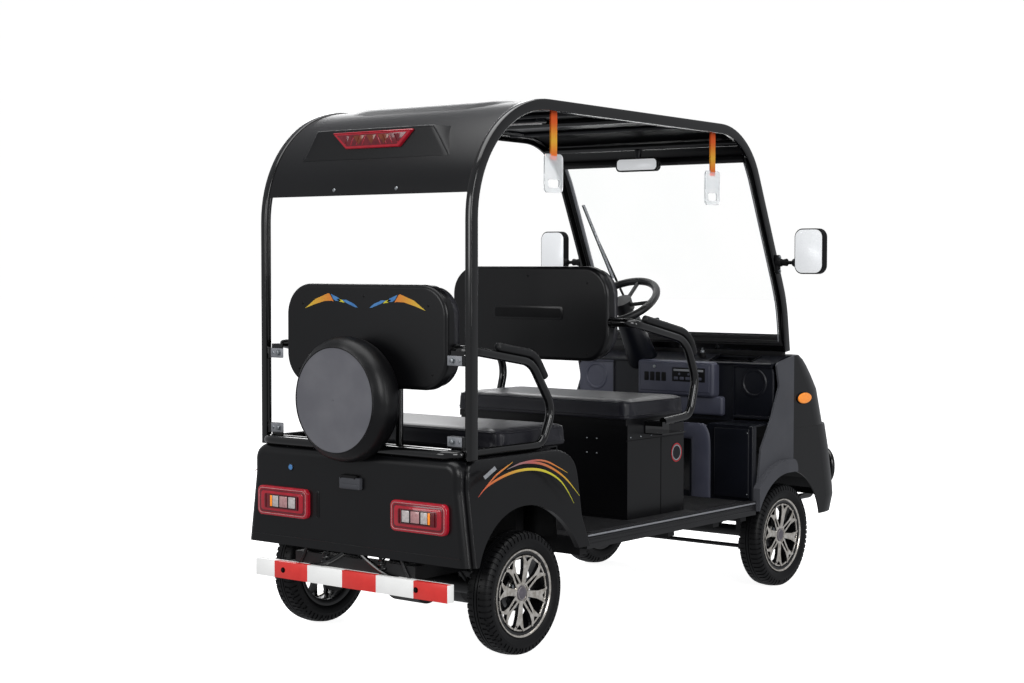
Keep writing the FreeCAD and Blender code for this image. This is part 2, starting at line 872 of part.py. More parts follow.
def rear_body():
    """The whole rear body as one shell, before it is split into its panels."""
    y_rear = rear_axle_y + rear_panel_y
    y_front = ahead(rear_foot_y)
    outer = rear_section(y_front, y_rear, 0)
    front_cut = side_plate([
        (rear_foot_y + overrun, rear_body_bottom - overrun),
        (rear_foot_y, rear_body_bottom), (rear_foot_y, floor_top + panel_wall),
        (rear_front_y, rear_shoulder_height - shoulder_radius * 2),
        (rear_front_y - panel_wall, rear_shoulder_height),
        (rear_front_y - shoulder_radius * 1.5, rear_body_top),
        (rear_front_y - shoulder_radius * 1.5, rear_body_top + overrun),
        (rear_foot_y + overrun, rear_body_top + overrun),
    ], [0, 0, 0, shoulder_radius, shoulder_radius, shoulder_radius, 0, 0],
        -body_half_width - overrun, body_half_width + overrun)
    outer = outer.cut(front_cut)
    outer = round_edges(outer, corner_radius, lambda e: on_rear_rim(e, y_rear))
    inner = rear_section(y_front - overrun, y_rear - panel_wall, panel_wall)
    inner = round_edges(inner, corner_radius - panel_wall,
                        lambda e: on_rear_rim(e, y_rear - panel_wall))
    shell = outer.cut(inner)
    arch = rod(Vector(-body_half_width - overrun, rear_axle_y, tyre_radius),
               Vector(body_half_width + overrun, rear_axle_y, tyre_radius), rear_arch_radius)
    inner_block = block(-fender_edge_x, fender_edge_x, ahead(rear_foot_y) - overrun,
                        y_rear + overrun, 0, tyre_radius + rear_arch_radius + overrun)
    return shell.cut(arch.cut(inner_block))


def on_rear_rim(edge, y_rear):
    """Whether an edge lies on the rear face, above its lower rim."""
    box = edge.BoundBox
    flat = abs(box.YMin - y_rear) < seam and abs(box.YMax - y_rear) < seam
    return flat and box.ZMax > rear_body_bottom + seam


def rear_regions():
    """Boxes that split the rear body: rear panel, each fender and the deck between."""
    y_rear = rear_axle_y + rear_panel_y
    split_y = y_rear - corner_radius
    top = rear_body_top + overrun
    wide = body_half_width + overrun
    y0 = ahead(rear_foot_y) - overrun
    panel = block(-wide, wide, split_y + seam, y_rear + overrun, 0, top)
    fender = block(fender_edge_x, wide, y0, split_y, 0, top)
    deck = block(-fender_edge_x + seam, fender_edge_x - seam, ahead(deck_start_y), split_y, 0, top)
    return panel, fender, deck


def plain(shape):
    """The one solid of a cut's result, or a compound where there are several."""
    solids = shape.Solids
    return solids[0] if len(solids) == 1 else Part.makeCompound(solids)


whole_rear = rear_body()
panel_region, fender_region, deck_region = rear_regions()


def rear_panel():
    return plain(whole_rear.common(panel_region))


def fender_cheek():
    """The proud side of a fender, which bulges over the wheel arch."""
    y0 = ahead(cheek_foot_y) - overrun
    y1 = rear_axle_y + rear_panel_y - corner_radius
    top = rear_body_top - cheek_top_drop
    rear = corner_radius - rear_panel_y
    outline = side_plate([
        (cheek_foot_y, rear_body_bottom), (cheek_waist_y, cheek_waist_z), (cheek_waist_y, top),
        (rear, top), (rear, rear_body_bottom),
    ], [0, cheek_foot_bend, cheek_front_bend, cheek_rear_bend, 0],
        rear_shoulder_half_width - shoulder_radius, body_half_width + cheek_rise + overrun)
    cheek = rear_section(y0, y1 + overrun, -cheek_rise).common(outline)
    cheek = round_edges(cheek, cheek_round, on_cheek_rim)
    inner = rear_section(y0 - overrun, y1 + overrun * 2, panel_wall)
    reach = Vector(body_half_width + cheek_rise + overrun, 0, 0)
    centre = Vector(0, rear_axle_y, tyre_radius)
    return cheek.cut(inner).cut(rod(centre - reach, centre + reach, rear_arch_radius))


def on_cheek_rim(edge):
    """Whether an edge runs round the outside of the cheek, above its foot."""
    box = edge.BoundBox
    outside = box.XMin > rear_shoulder_half_width
    return outside and box.ZMax > rear_body_bottom + seam


def rear_fenders():
    shell = plain(whole_rear.common(fender_region))
    return pair(plain(shell.fuse(fender_cheek()).removeSplitter()))


def rear_deck():
    return plain(whole_rear.common(deck_region))


def rear_seat_base():
    """The wall under the front of the rear cushion and the shelf that carries the cushion."""
    x = fender_edge_x - seam
    y_wall = ahead(rear_front_y)
    top = rear_body_top
    wall = block(-x, x, y_wall, y_wall + panel_wall, floor_top - floor_thickness, top - panel_wall)
    shelf = block(-x, x, y_wall, ahead(deck_start_y) - seam, top - panel_wall, top)
    return wall.fuse(shelf).removeSplitter()


# Rear lamps and bumper bar
def rounded_box(centre, width, height, depth, corner):
    """A block that faces along Y with rounded corners, its back on the centre's plane."""
    x = width / 2
    z = height / 2
    points = [centre + Vector(-x, 0, -z), centre + Vector(x, 0, -z),
              centre + Vector(x, 0, z), centre + Vector(-x, 0, z)]
    return slab(points, corner, Vector(0, depth, 0))


def tail_lamps():
    y = rear_axle_y + rear_panel_y + seam
    lamp = rounded_box(Vector(lamp_centre_x, y, lamp_centre_z), lamp_width, lamp_height, lamp_depth, lamp_corner)
    return pair(lamp)


def plate_lamp():
    y = rear_axle_y + rear_panel_y + seam
    return rounded_box(Vector(0, y, plate_lamp_z), plate_lamp_width, plate_lamp_height,
                       plate_lamp_depth, panel_wall)


def bumper_bar():
    y1 = rear_axle_y + rear_panel_y + bar_gap
    y0 = y1 - bar_depth
    points = [Vector(-bar_half_width, y0, bar_bottom), Vector(bar_half_width, y0, bar_bottom),
              Vector(bar_half_width, y1, bar_bottom), Vector(-bar_half_width, y1, bar_bottom)]
    bar = slab(points, [0, 0, bar_corner, bar_corner], Vector(0, 0, bar_height))
    for side in (-1, 1):
        x = bar_bolt_x * side
        z = bar_bottom + bar_height / 2
        bar = bar.cut(rod(Vector(x, y0 - overrun, z), Vector(x, y1 + overrun, z), bar_bolt_radius))
    return bar


# Seats
def cushion(rear_distance, depth, bottom):
    y1 = ahead(rear_distance)
    y0 = y1 - depth
    x = cushion_half_width
    points = [Vector(-x, y0, bottom), Vector(x, y0, bottom), Vector(x, y1, bottom), Vector(-x, y1, bottom)]
    pad = slab(points, cushion_corner, Vector(0, 0, cushion_thickness))
    top = bottom + cushion_thickness
    return round_edges(pad, cushion_edge, lambda e: abs(e.BoundBox.ZMin - top) < seam)


def backrest_parts(rear_distance, bottom):
    """A backrest's moulded rear shell and its padded front."""
    y1 = ahead(rear_distance)
    x = backrest_half_width
    top = bottom + backrest_height
    points = [Vector(-x, y1, bottom), Vector(x, y1, bottom), Vector(x, y1, top), Vector(-x, y1, top)]
    body = slab(points, backrest_corner, Vector(0, -backrest_thickness, 0))
    body = round_edges(body, backrest_edge,
                       lambda e: abs(e.BoundBox.YMax - y1) < seam and abs(e.BoundBox.YMin - y1) < seam)
    split = y1 - backrest_thickness * shell_share
    reach = x + overrun
    rear_half = block(-reach, reach, split, y1 + overrun, bottom - overrun, top + overrun)
    front_half = block(-reach, reach, y1 - backrest_thickness - overrun, split - seam,
                       bottom - overrun, top + overrun)
    return plain(body.common(rear_half)), plain(body.common(front_half))


front_shell, front_pad = backrest_parts(front_backrest_y, front_backrest_bottom)
rear_shell, rear_pad = backrest_parts(rear_backrest_y, rear_backrest_bottom)


def seat_box():
    x = seat_box_half_width
    outer = block(-x, x, ahead(seat_box_front), ahead(seat_box_rear), floor_top + seam, seat_box_top)
    inner = block(seat_box_wall - x, x - seat_box_wall, ahead(seat_box_front) + seat_box_wall,
                  ahead(seat_box_rear) - seat_box_wall, floor_top - overrun, seat_box_top - seat_box_wall)
    rim_wide = block(-cushion_half_width + cushion_edge, cushion_half_width - cushion_edge,
                     ahead(front_cushion_rear + front_cushion_depth) + cushion_edge,
                     ahead(front_cushion_rear) - cushion_edge,
                     seat_box_top - seat_box_wall, front_cushion_bottom - seam)
    return outer.fuse(rim_wide).cut(inner).removeSplitter()


def battery_block():
    y0 = ahead(seat_box_front) + battery_margin
    y1 = ahead(seat_box_rear) - battery_margin
    return block(-battery_half_width, battery_half_width, y0, y1, floor_top + seam,
                 floor_top + battery_height)


# Arm tubes
def tilt_points(x, pairs):
    """Points in a side plane, from (distance ahead, height) pairs."""
    return [Vector(x, ahead(distance), height) for distance, height in pairs]


def front_arm_path():
    side_x = backrest_half_width + seam
    shell_y = front_backrest_y + backrest_thickness / 4
    start = tilt_points(side_x, [(shell_y, front_arm_high)])
    return start + tilt_points(arm_x, [
        (shell_y, front_arm_high),
        (front_arm_bend_y, front_arm_bend_z),
        (front_arm_reach, front_arm_middle),
        (front_arm_low_y, front_arm_low_z),
        (front_clamp_y, front_arm_foot),
    ])


def front_arms():
    wide = arm_bend * wide_bend_share
    bends = [0, arm_bend, wide, wide, arm_bend, 0]
    tube = pipe(front_arm_path(), bends, arm_radius)
    points = front_arm_path()
    collar = rod(points[0], points[0] + Vector(collar_length, 0, 0), collar_radius)
    clamp_y = ahead(front_clamp_y)
    clamp = block(seat_box_half_width + seam, arm_x + arm_radius, clamp_y - tab_length / 3,
                  clamp_y + tab_length / 3, front_arm_foot - arm_radius - tab_thickness,
                  front_arm_foot)
    shelf = block(seat_box_half_width + seam, arm_x + arm_radius,
                  clamp_y - tab_length * 2, clamp_y + tab_length / 3,
                  front_arm_foot - arm_radius - tab_height, front_arm_foot - arm_radius - tab_height
                  + tab_thickness)
    web = block(seat_box_half_width + seam, seat_box_half_width + seam + tab_thickness,
                clamp_y - tab_length * 2, clamp_y + tab_length / 3,
                front_arm_foot - arm_radius - tab_height, front_arm_foot)
    return pair(tube.multiFuse([collar, clamp, shelf, web]).removeSplitter())


def rear_arm_path():
    side_x = backrest_half_width + seam
    shell_y = rear_backrest_y + backrest_thickness / 2
    inner = tilt_points(side_x, [(shell_y, rear_arm_high)])
    return inner + tilt_points(rear_arm_x, [
        (shell_y, rear_arm_high),
        (rear_arm_bend_y, rear_arm_bend_z),
        (rear_arm_reach, rear_arm_middle),
        (rear_arm_low_y, loop_height),
        (-loop_rear_y, loop_height),
    ])


def rear_arm_frame():
    """Both rear arm tubes, joined behind the seat by the loop that lies on the deck."""
    left = rear_arm_path()
    right = [Vector(-point.x, point.y, point.z) for point in reversed(left)]
    bends = [0, arm_bend * tight_bend_share, arm_bend * wide_bend_share, arm_bend, arm_bend, arm_bend]
    tube = pipe(left + right, bends + list(reversed(bends)), arm_radius)
    pieces = []
    support_y = ahead(-support_back)
    cross = rod(Vector(-rear_arm_x, support_y, loop_height),
                Vector(rear_arm_x, support_y, loop_height), arm_radius)
    pieces.append(cross)
    lug_y = rear_axle_y + post_y - tab_setback - tab_thickness - seam
    for side in (-1, 1):
        x = support_x * side
        pieces.append(rod(Vector(x, support_y, loop_height),
                          Vector(x, support_y, rear_backrest_bottom - seam), arm_radius))
        collar_at = Vector(side * (backrest_half_width + seam), left[0].y, left[0].z)
        pieces.append(rod(collar_at, collar_at + Vector(side * collar_length, 0, 0), collar_radius))
        inner = side * (frame_outer_x - frame_width - tab_length)
        outer = side * rear_arm_x
        low_top = tab_heights[0] + tab_height / 2
        pieces.append(block(inner, outer, lug_y - tab_thickness, lug_y, loop_height, low_top))
        high_low = tab_heights[1] - tab_height / 2
        pieces.append(block(inner, outer, lug_y - tab_thickness, lug_y, high_low, rear_arm_high))
        pieces.append(block(inner, outer, left[0].y, lug_y, rear_arm_high - tab_thickness,
                            rear_arm_high))
    plate_y = ahead(-support_back) + arm_radius
    carrier = block(-support_x, support_x, support_y, plate_y + tab_thickness,
                    cover_height - tab_length / 2, cover_height + tab_length / 2)
    stud = rod(Vector(0, plate_y, cover_height),
               Vector(0, rear_axle_y + rear_overhang - cover_depth - seam, cover_height),
               collar_radius)
    shape = tube.multiFuse(pieces + [carrier, stud])
    return shape.removeSplitter()


def arm_pads():
    """The padded rests along the tops of the four arm tubes."""
    front = front_arm_path()[1:4]
    rear = rear_arm_path()[1:4]
    pads = [arm_pad(front, front_pad_start, arm_bend * wide_bend_share),
            arm_pad(rear, rear_pad_start, arm_bend)]
    return Part.makeCompound(pads + [mirrored(pad) for pad in pads])


def arm_pad(line, start_distance, bend):
    """A round pad on the outer side of an arm tube's three path points."""
    start, corner, end = line
    rise = arm_radius + pad_radius + seam
    first = (corner - start).normalize()
    second = (end - corner).normalize()
    out_first = first.cross(AXIS_X)
    out_second = second.cross(AXIS_X)
    half = out_first.getAngle(out_second) / 2
    middle = (out_first + out_second).normalize()
    begin = start + first * (start_distance - (rear_axle_y - start.y))
    stop = corner + (end - corner) * pad_drop_share
    points = [begin + out_first * rise, corner + middle * (rise / math.cos(half)),
              stop + out_second * rise]
    return pipe(points, [0, bend + rise, 0], pad_radius)


def spare_cover():
    y1 = rear_axle_y + rear_overhang
    y0 = y1 - cover_depth
    hem = y0 + cover_hem_depth
    points = [Vector(0, y0, 0), Vector(cover_hem_radius, y0, 0), Vector(cover_hem_radius, hem, 0),
              Vector(cover_radius, hem + cover_flare, 0), Vector(cover_radius, y1 - cover_nose / 2, 0),
              Vector(cover_face_radius, y1, 0), Vector(0, y1, 0)]
    bends = [0, 0, 0, cover_round / 4, cover_round / 2, cover_round / 2, 0]
    wire = rounded_path(points, bends, closed=True)
    body = Part.Face(wire).revolve(Vector(0, 0, 0), AXIS_Y, 360)
    body.translate(Vector(0, 0, cover_height))
    return body


# Roof
def frame_line(x):
    """The outer line of a side frame, from the rear post's foot to the pillar's foot."""
    points = tilt_points(x, [
        (-post_y, post_foot), (-post_y, roof_height), (roof_front_corner_y, roof_front_corner_z),
        (pillar_knee_y, pillar_knee_z), (pillar_foot_y, pillar_foot_z),
    ])
    return rounded_path(points, [0, rear_bend, front_bend, pillar_knee_bend, 0])


def roof_line(distance):
    """Height of the roof's straight run at a distance ahead of the rear axle."""
    share = (distance + post_y) / (roof_front_corner_y + post_y)
    return roof_height + (roof_front_corner_z - roof_height) * share


def pillar_distance(height):
    """How far ahead of the rear axle the front pillar's outer line lies at a height."""
    if height > pillar_knee_z:
        share = (height - pillar_knee_z) / (roof_front_corner_z - pillar_knee_z)
        return pillar_knee_y + (roof_front_corner_y - pillar_knee_y) * share
    share = (pillar_knee_z - height) / (pillar_knee_z - pillar_foot_z)
    return pillar_knee_y + (pillar_foot_y - pillar_knee_y) * share


def swept_strip(x0, x1, near, far):
    """A strip between two widths that follows the frame line, near to far inside it."""
    y = rear_axle_y + post_y
    z = post_foot
    section = Part.makePolygon([
        Vector(x0, y - near, z), Vector(x1, y - near, z),
        Vector(x1, y - far, z), Vector(x0, y - far, z), Vector(x0, y - near, z),
    ])
    return frame_line(0).makePipeShell([section], True, False)


def side_frame():
    inner_x = frame_outer_x - frame_width
    lip_x = frame_outer_x - frame_lip
    outer = swept_strip(lip_x, frame_outer_x, 0, frame_depth)
    inner = swept_strip(inner_x, lip_x, 0, frame_seat_depth)
    return outer.fuse(inner).removeSplitter()


def cross_bar(distance, height):
    x = frame_outer_x - frame_width / 2
    y = ahead(distance)
    return rod(Vector(-x, y, height), Vector(x, y, height), cross_tube_radius)


def windscreen_base():
    """The black bar across the foot of the windscreen, between the two pillars."""
    x = frame_outer_x - frame_width / 2
    sheet = swept_strip(-x, x, frame_edge, frame_edge + frame_seat_depth)
    big = overall_length
    region = block(-big, big, -big, ahead(header_bar_y), 0, glass_foot_z - seam)
    return plain(sheet.common(region))


def roof_frame():
    side = side_frame()
    tabs = []
    y1 = rear_axle_y + post_y - tab_setback
    x1 = frame_outer_x - frame_width / 2
    x0 = frame_outer_x - frame_width - tab_length
    for height in tab_heights:
        tabs.append(block(x0, x1, y1 - tab_thickness, y1, height - tab_height / 2,
                          height + tab_height / 2))
    side = side.multiFuse(tabs)
    under = frame_edge + roof_skin + seam + cross_tube_radius
    bars = [
        cross_bar(rear_bar_y, roof_line(rear_bar_y) - under),
        cross_bar(middle_bar_y, roof_line(middle_bar_y) - under),
        cross_bar(header_bar_y, header_bar_z),
    ]
    return side.multiFuse([mirrored(side), windscreen_base()] + bars).removeSplitter()


def roof_panel():
    x = frame_outer_x - frame_width - seam
    sheet = swept_strip(-x, x, frame_edge, frame_edge + roof_skin)
    big = overall_length
    low_rear = block(-big, big, -big, big, 0, apron_bottom)
    front = block(-big, big, -big, ahead(header_bar_y), 0, header_split_z)
    return plain(sheet.cut(low_rear).cut(front))


def brake_lamp():
    """The high brake lamp, a flat housing on the curve of the roof's rear."""
    x = brake_lamp_width / 2
    low = brake_lamp_width * brake_lamp_low_share
    y = rear_axle_y + brake_lamp_y
    z = brake_lamp_z
    half = brake_lamp_height / 2
    points = [Vector(-low, y, z - half), Vector(low, y, z - half),
              Vector(x, y, z + half), Vector(-x, y, z + half)]
    lamp = slab(points, panel_wall, Vector(0, -rear_bend / 2, 0))
    band = swept_strip(-x, x, frame_edge - brake_lamp_rise, frame_edge - seam)
    return plain(lamp.common(band))


def windscreen():
    x = frame_outer_x - frame_width - seam
    near = frame_edge + roof_skin / 2
    sheet = swept_strip(-x, x, near, near + glass_thickness)
    big = overall_length
    region = block(-big, big, -big, ahead(header_bar_y) - seam, glass_foot_z, header_split_z - seam)
    return plain(sheet.common(region))


def wiper():
    """The wiper's spindle, arm and blade, just outside the glass."""
    def on_glass(x, z, out):
        return Vector(x, ahead(pillar_distance(z) + out), z)
    foot = on_glass(wiper_foot_x, wiper_foot_z, wiper_out)
    middle = on_glass(wiper_middle_x, wiper_middle_z, wiper_out)
    low = on_glass(wiper_low_x, wiper_low_z, wiper_out / 2)
    high = on_glass(wiper_high_x, wiper_high_z, wiper_out / 2)
    share = (pillar_knee_z - wiper_foot_z) / (wiper_middle_z - wiper_foot_z)
    knee = on_glass(wiper_foot_x + (wiper_middle_x - wiper_foot_x) * share, pillar_knee_z,
                    wiper_out * 1.5)
    arm = pipe([foot, knee, middle], wiper_out * 4, wiper_arm_radius)
    blade = rod(low, high, wiper_arm_radius)
    spindle = rod(foot, foot + Vector(0, wiper_out * 3, 0), wiper_arm_radius * 2)
    outer = frame_edge + roof_skin / 2 - seam
    within = swept_strip(-frame_outer_x, frame_outer_x, outer, outer + wiper_out * 4)
    return arm.multiFuse([blade, spindle.cut(within)]).removeSplitter()


def interior_mirror():
    y = ahead(inner_mirror_y)
    x = inner_mirror_width / 2
    half = inner_mirror_height / 2
    points = [Vector(-x, y, inner_mirror_z - half), Vector(x, y, inner_mirror_z - half),
              Vector(x, y, inner_mirror_z + half), Vector(-x, y, inner_mirror_z + half)]
    head = slab(points, half * mirror_bend_share, Vector(0, -inner_mirror_depth, 0))
    root_z = header_bar_z - cross_tube_radius - seam
    stem = rod(Vector(0, y - inner_mirror_depth / 2, inner_mirror_z),
               Vector(0, y - inner_mirror_depth / 2, root_z), mirror_arm_radius)
    return head.fuse(stem).removeSplitter()


def side_mirrors():
    y = ahead(mirror_y)
    x = mirror_width / 2
    z = mirror_height / 2
    centre = Vector(mirror_x, y, mirror_z)
    points = [centre + Vector(-x, 0, -z), centre + Vector(x, 0, -z),
              centre + Vector(x, 0, z), centre + Vector(-x, 0, z)]
    head = slab(points, mirror_corner, Vector(0, -mirror_thickness, 0))
    arm_z = mirror_z - mirror_height / 4
    pillar_y = pillar_distance(arm_z) - frame_depth / 2
    start = Vector(frame_outer_x + seam, ahead(pillar_y), arm_z)
    elbow = Vector(frame_outer_x + mirror_arm_radius * 4, ahead(pillar_y), arm_z)
    end = Vector(mirror_x - x / 2, y - mirror_thickness / 2, arm_z)
    foot = rod(start, start + Vector(mirror_arm_radius, 0, 0), mirror_arm_radius * 2)
    arm = pipe([start, elbow, end], mirror_arm_radius * 2, mirror_arm_radius)
    return pair(head.multiFuse([arm, foot]).removeSplitter())


def strap_handles():
    """Fabric loops on the right roof tube, each with a clear hand plate."""
    handles = []
    for distance in (strap_rear_y, strap_front_y):
        handles.append(strap_handle(distance))
    return Part.makeCompound(handles)


def strap_handle(distance):
    y = ahead(distance)
    x = -strap_x
    top = roof_line(distance) - frame_edge - roof_skin - seam
    half = strap_thickness / 2
    strap = block(x - half, x + half, y - strap_width / 2, y + strap_width / 2,
                  top - strap_length, top)
    plate_top = top - strap_length + plate_corner
    plate_low = plate_top - plate_height
    points = [Vector(x - plate_thickness / 2, y - plate_width / 2, plate_low),
              Vector(x - plate_thickness / 2, y + plate_width / 2, plate_low),
              Vector(x - plate_thickness / 2, y + plate_width / 2, plate_top),
              Vector(x - plate_thickness / 2, y - plate_width / 2, plate_top)]
    plate = slab(points, plate_corner, Vector(plate_thickness, 0, 0))
    hole_low = plate_low + plate_corner
    hole_top = hole_low + plate_hole_height
    half_hole = plate_width * plate_hole_share / 2
    hole_points = [Vector(x - overrun, y - half_hole, hole_low), Vector(x - overrun, y + half_hole, hole_low),
                   Vector(x - overrun, y + half_hole, hole_top), Vector(x - overrun, y - half_hole, hole_top)]
    hole = slab(hole_points, plate_corner / 2, Vector(overrun * 2, 0, 0))
    return strap.fuse(plate.cut(hole)).removeSplitter()


# Front body
def cowl_outline(reach, half_width, corner, height, start):
    """A plan outline of the front body at one height."""
    y0 = ahead(start)
    y1 = ahead(cowl_start + reach)
    nose = y1 - cowl_crown * reach / cowl_reach
    points = [Vector(-half_width, y0, height), Vector(half_width, y0, height),
              Vector(half_width, y1, height), Vector(0, nose, height),
              Vector(-half_width, y1, height)]
    bend = min(corner, reach * cowl_bend_share)
    return rounded_path(points, [0, 0, bend, bend * nose_bend_share, bend], closed=True)


def cowl_block(levels, inset, start):
    """A solid through plan outlines, from (height, reach share) pairs."""
    wires = []
    for height, share in levels:
        wires.append(cowl_outline(cowl_reach * share - inset, cowl_half_width - inset,
                                  cowl_corner - inset, height, start))
    return Part.makeLoft(wires, True, True)


def between(low, high, share):
    return low + (high - low) * share


def cowl_levels(z0, z1, shares, shift=0):
    return [(between(z0, z1, level) + shift, reach) for level, reach in shares]


lower_cowl_shares = [(0.0, 0.944), (0.18, 1.0), (0.29, 0.987), (0.74, 0.909), (1.0, 0.846)]
upper_cowl_shares = [(0.0, 0.806), (0.5, 0.7), (0.7, 0.605), (0.84, 0.49), (0.93, 0.356), (1.0, 0.19)]


def arch_disc(x0, x1, radius):
    """A round space about the front axle, drawn out towards the nose."""
    near = rod(Vector(x0, front_axle_y, tyre_radius), Vector(x1, front_axle_y, tyre_radius), radius)
    far = near.translated(Vector(0, -arch_stretch, 0))
    middle = block(x0, x1, front_axle_y - arch_stretch, front_axle_y, tyre_radius - radius,
                   tyre_radius + radius)
    return near.multiFuse([far, middle]).removeSplitter()


def front_arch():
    """The space of the front wheels, from the inner walls outward."""
    reach = body_half_width + overrun
    drum = arch_disc(-reach, reach, front_arch_radius)
    middle = block(-house_inner_x, house_inner_x, front_axle_y - body_half_width,
                   front_axle_y + body_half_width, 0, body_half_width)
    return drum.cut(middle)


def lower_cowl():
    z0 = cowl_bottom
    z1 = cowl_step - seam
    outer = cowl_block(cowl_levels(z0, z1, lower_cowl_shares), 0, cowl_start)
    inner_shares = [(-0.2, 0.944)] + lower_cowl_shares[1:-1] + [(1.2, 0.8)]
    inner = cowl_block(cowl_levels(z0, z1, inner_shares), panel_wall, cowl_start - overrun)
    shell = outer.cut(inner).cut(front_arch())
    for bar in hoop_stays(hoop_tube_radius + joint_gap):
        shell = shell.cut(bar)
    return plain(shell)


def upper_cowl():
    z0 = cowl_step
    z1 = cowl_top
    outer = cowl_block(cowl_levels(z0, z1, upper_cowl_shares), 0, cowl_start)
    inner_shares = [(-0.2, 0.82)] + upper_cowl_shares[1:]
    inner = cowl_block(cowl_levels(z0, z1, inner_shares, -panel_wall), panel_wall,
                       cowl_start - overrun)
    shell = outer.cut(inner)
    y = ahead(cowl_start + cowl_reach)
    for side in (-1, 1):
        x = side * headlamp_x
        shell = shell.cut(rod(Vector(x, y - overrun, headlamp_z),
                              Vector(x, y + headlamp_pocket, headlamp_z),
                              headlamp_radius + seam))
    return plain(shell)


def headlamps():
    front = ahead(cowl_start + headlamp_reach)
    lamp = rod(Vector(headlamp_x, front, headlamp_z),
               Vector(headlamp_x, front + headlamp_depth, headlamp_z), headlamp_radius)
    lamp = round_edges(lamp, panel_wall * 2, lambda e: abs(e.BoundBox.YMax - front) < seam)
    return pair(lamp)


def side_markers():
    x = cowl_half_width + seam
    y = ahead(marker_y)
    half = marker_length / 2
    rise = marker_height / 2
    points = [Vector(x, y - half, marker_z - rise), Vector(x, y + half, marker_z - rise),
              Vector(x, y + half, marker_z + rise), Vector(x, y - half, marker_z + rise)]
    return pair(slab(points, marker_height * marker_end_share, Vector(marker_depth, 0, 0)))


def hoop_stays(radius):
    """The two bars that carry the front hoop from the ends of the rails."""
    y = ahead(wheelbase + front_overhang) + hoop_tube_radius
    rail_end = ahead(wheelbase + steering_arm_length * 3)
    middle = rail_bottom + rail_height / 2
    bars = []
    for side in (-1, 1):
        x = side * rail_x
        points = [Vector(x, rail_end - seam, middle), Vector(x, y, middle), Vector(x, y, hoop_bottom)]
        bars.append(pipe(points, hoop_tube_radius * 2, radius))
    return bars


def front_hoop():
    """The bent tube that guards the nose: an upper and a lower run with round ends."""
    y = ahead(wheelbase + front_overhang) + hoop_tube_radius
    x = hoop_half_width - hoop_tube_radius
    back_y = y + hoop_bend
    points = [Vector(-x, back_y, hoop_bottom), Vector(-x * hoop_front_share, y, hoop_bottom),
              Vector(x * hoop_front_share, y, hoop_bottom), Vector(x, back_y, hoop_bottom),
              Vector(x, back_y, hoop_top), Vector(x * hoop_front_share, y, hoop_top),
              Vector(-x * hoop_front_share, y, hoop_top), Vector(-x, back_y, hoop_top)]
    end_bend = (hoop_top - hoop_bottom) * hoop_end_share
    wire = rounded_path(points, [end_bend, hoop_bend, hoop_bend, end_bend,
                                 end_bend, hoop_bend, hoop_bend, end_bend], closed=True)
    start_edge = wire.Edges[0]
    start = start_edge.valueAt(start_edge.FirstParameter)
    direction = start_edge.tangentAt(start_edge.FirstParameter)
    circle = Part.Wire(Part.makeCircle(hoop_tube_radius, start, direction))
    tube = wire.makePipeShell([circle], True, False)
    return tube.multiFuse(hoop_stays(hoop_tube_radius)).removeSplitter()


def side_fairings():
    """The grey side panels with the raised lip of the front wheel arch."""
    x1 = cowl_half_width
    x0 = x1 - fairing_thickness
    plate = side_plate([
        (cowl_start - seam, fairing_foot_z), (cowl_start - seam, cowl_top),
        (fairing_top_y, fairing_top_z), (fairing_neck_y, fairing_neck_z),
        (fairing_waist_y, fairing_waist_z), (fairing_knee_y, fairing_knee_z),
        (fairing_foot_y, fairing_foot_z),
    ], [0, 0, corner_radius / 2, corner_radius, corner_radius * 2, corner_radius, 0], x0, x1)
    plate = plate.cut(front_arch())
    lip_x = x1 + lip_rise
    ring = arch_disc(x0, lip_x, front_arch_radius + lip_width).cut(front_arch())
    crest = tyre_radius + front_arch_radius + lip_width
    region = side_plate([
        (cowl_start - seam, fairing_foot_z), (cowl_start - seam, crest),
        (fairing_foot_y, crest), (fairing_foot_y, fairing_foot_z),
    ], [0, lip_corner, 0, 0], x0, lip_x)
    return pair(plain(plate.fuse(ring.common(region)).removeSplitter()))


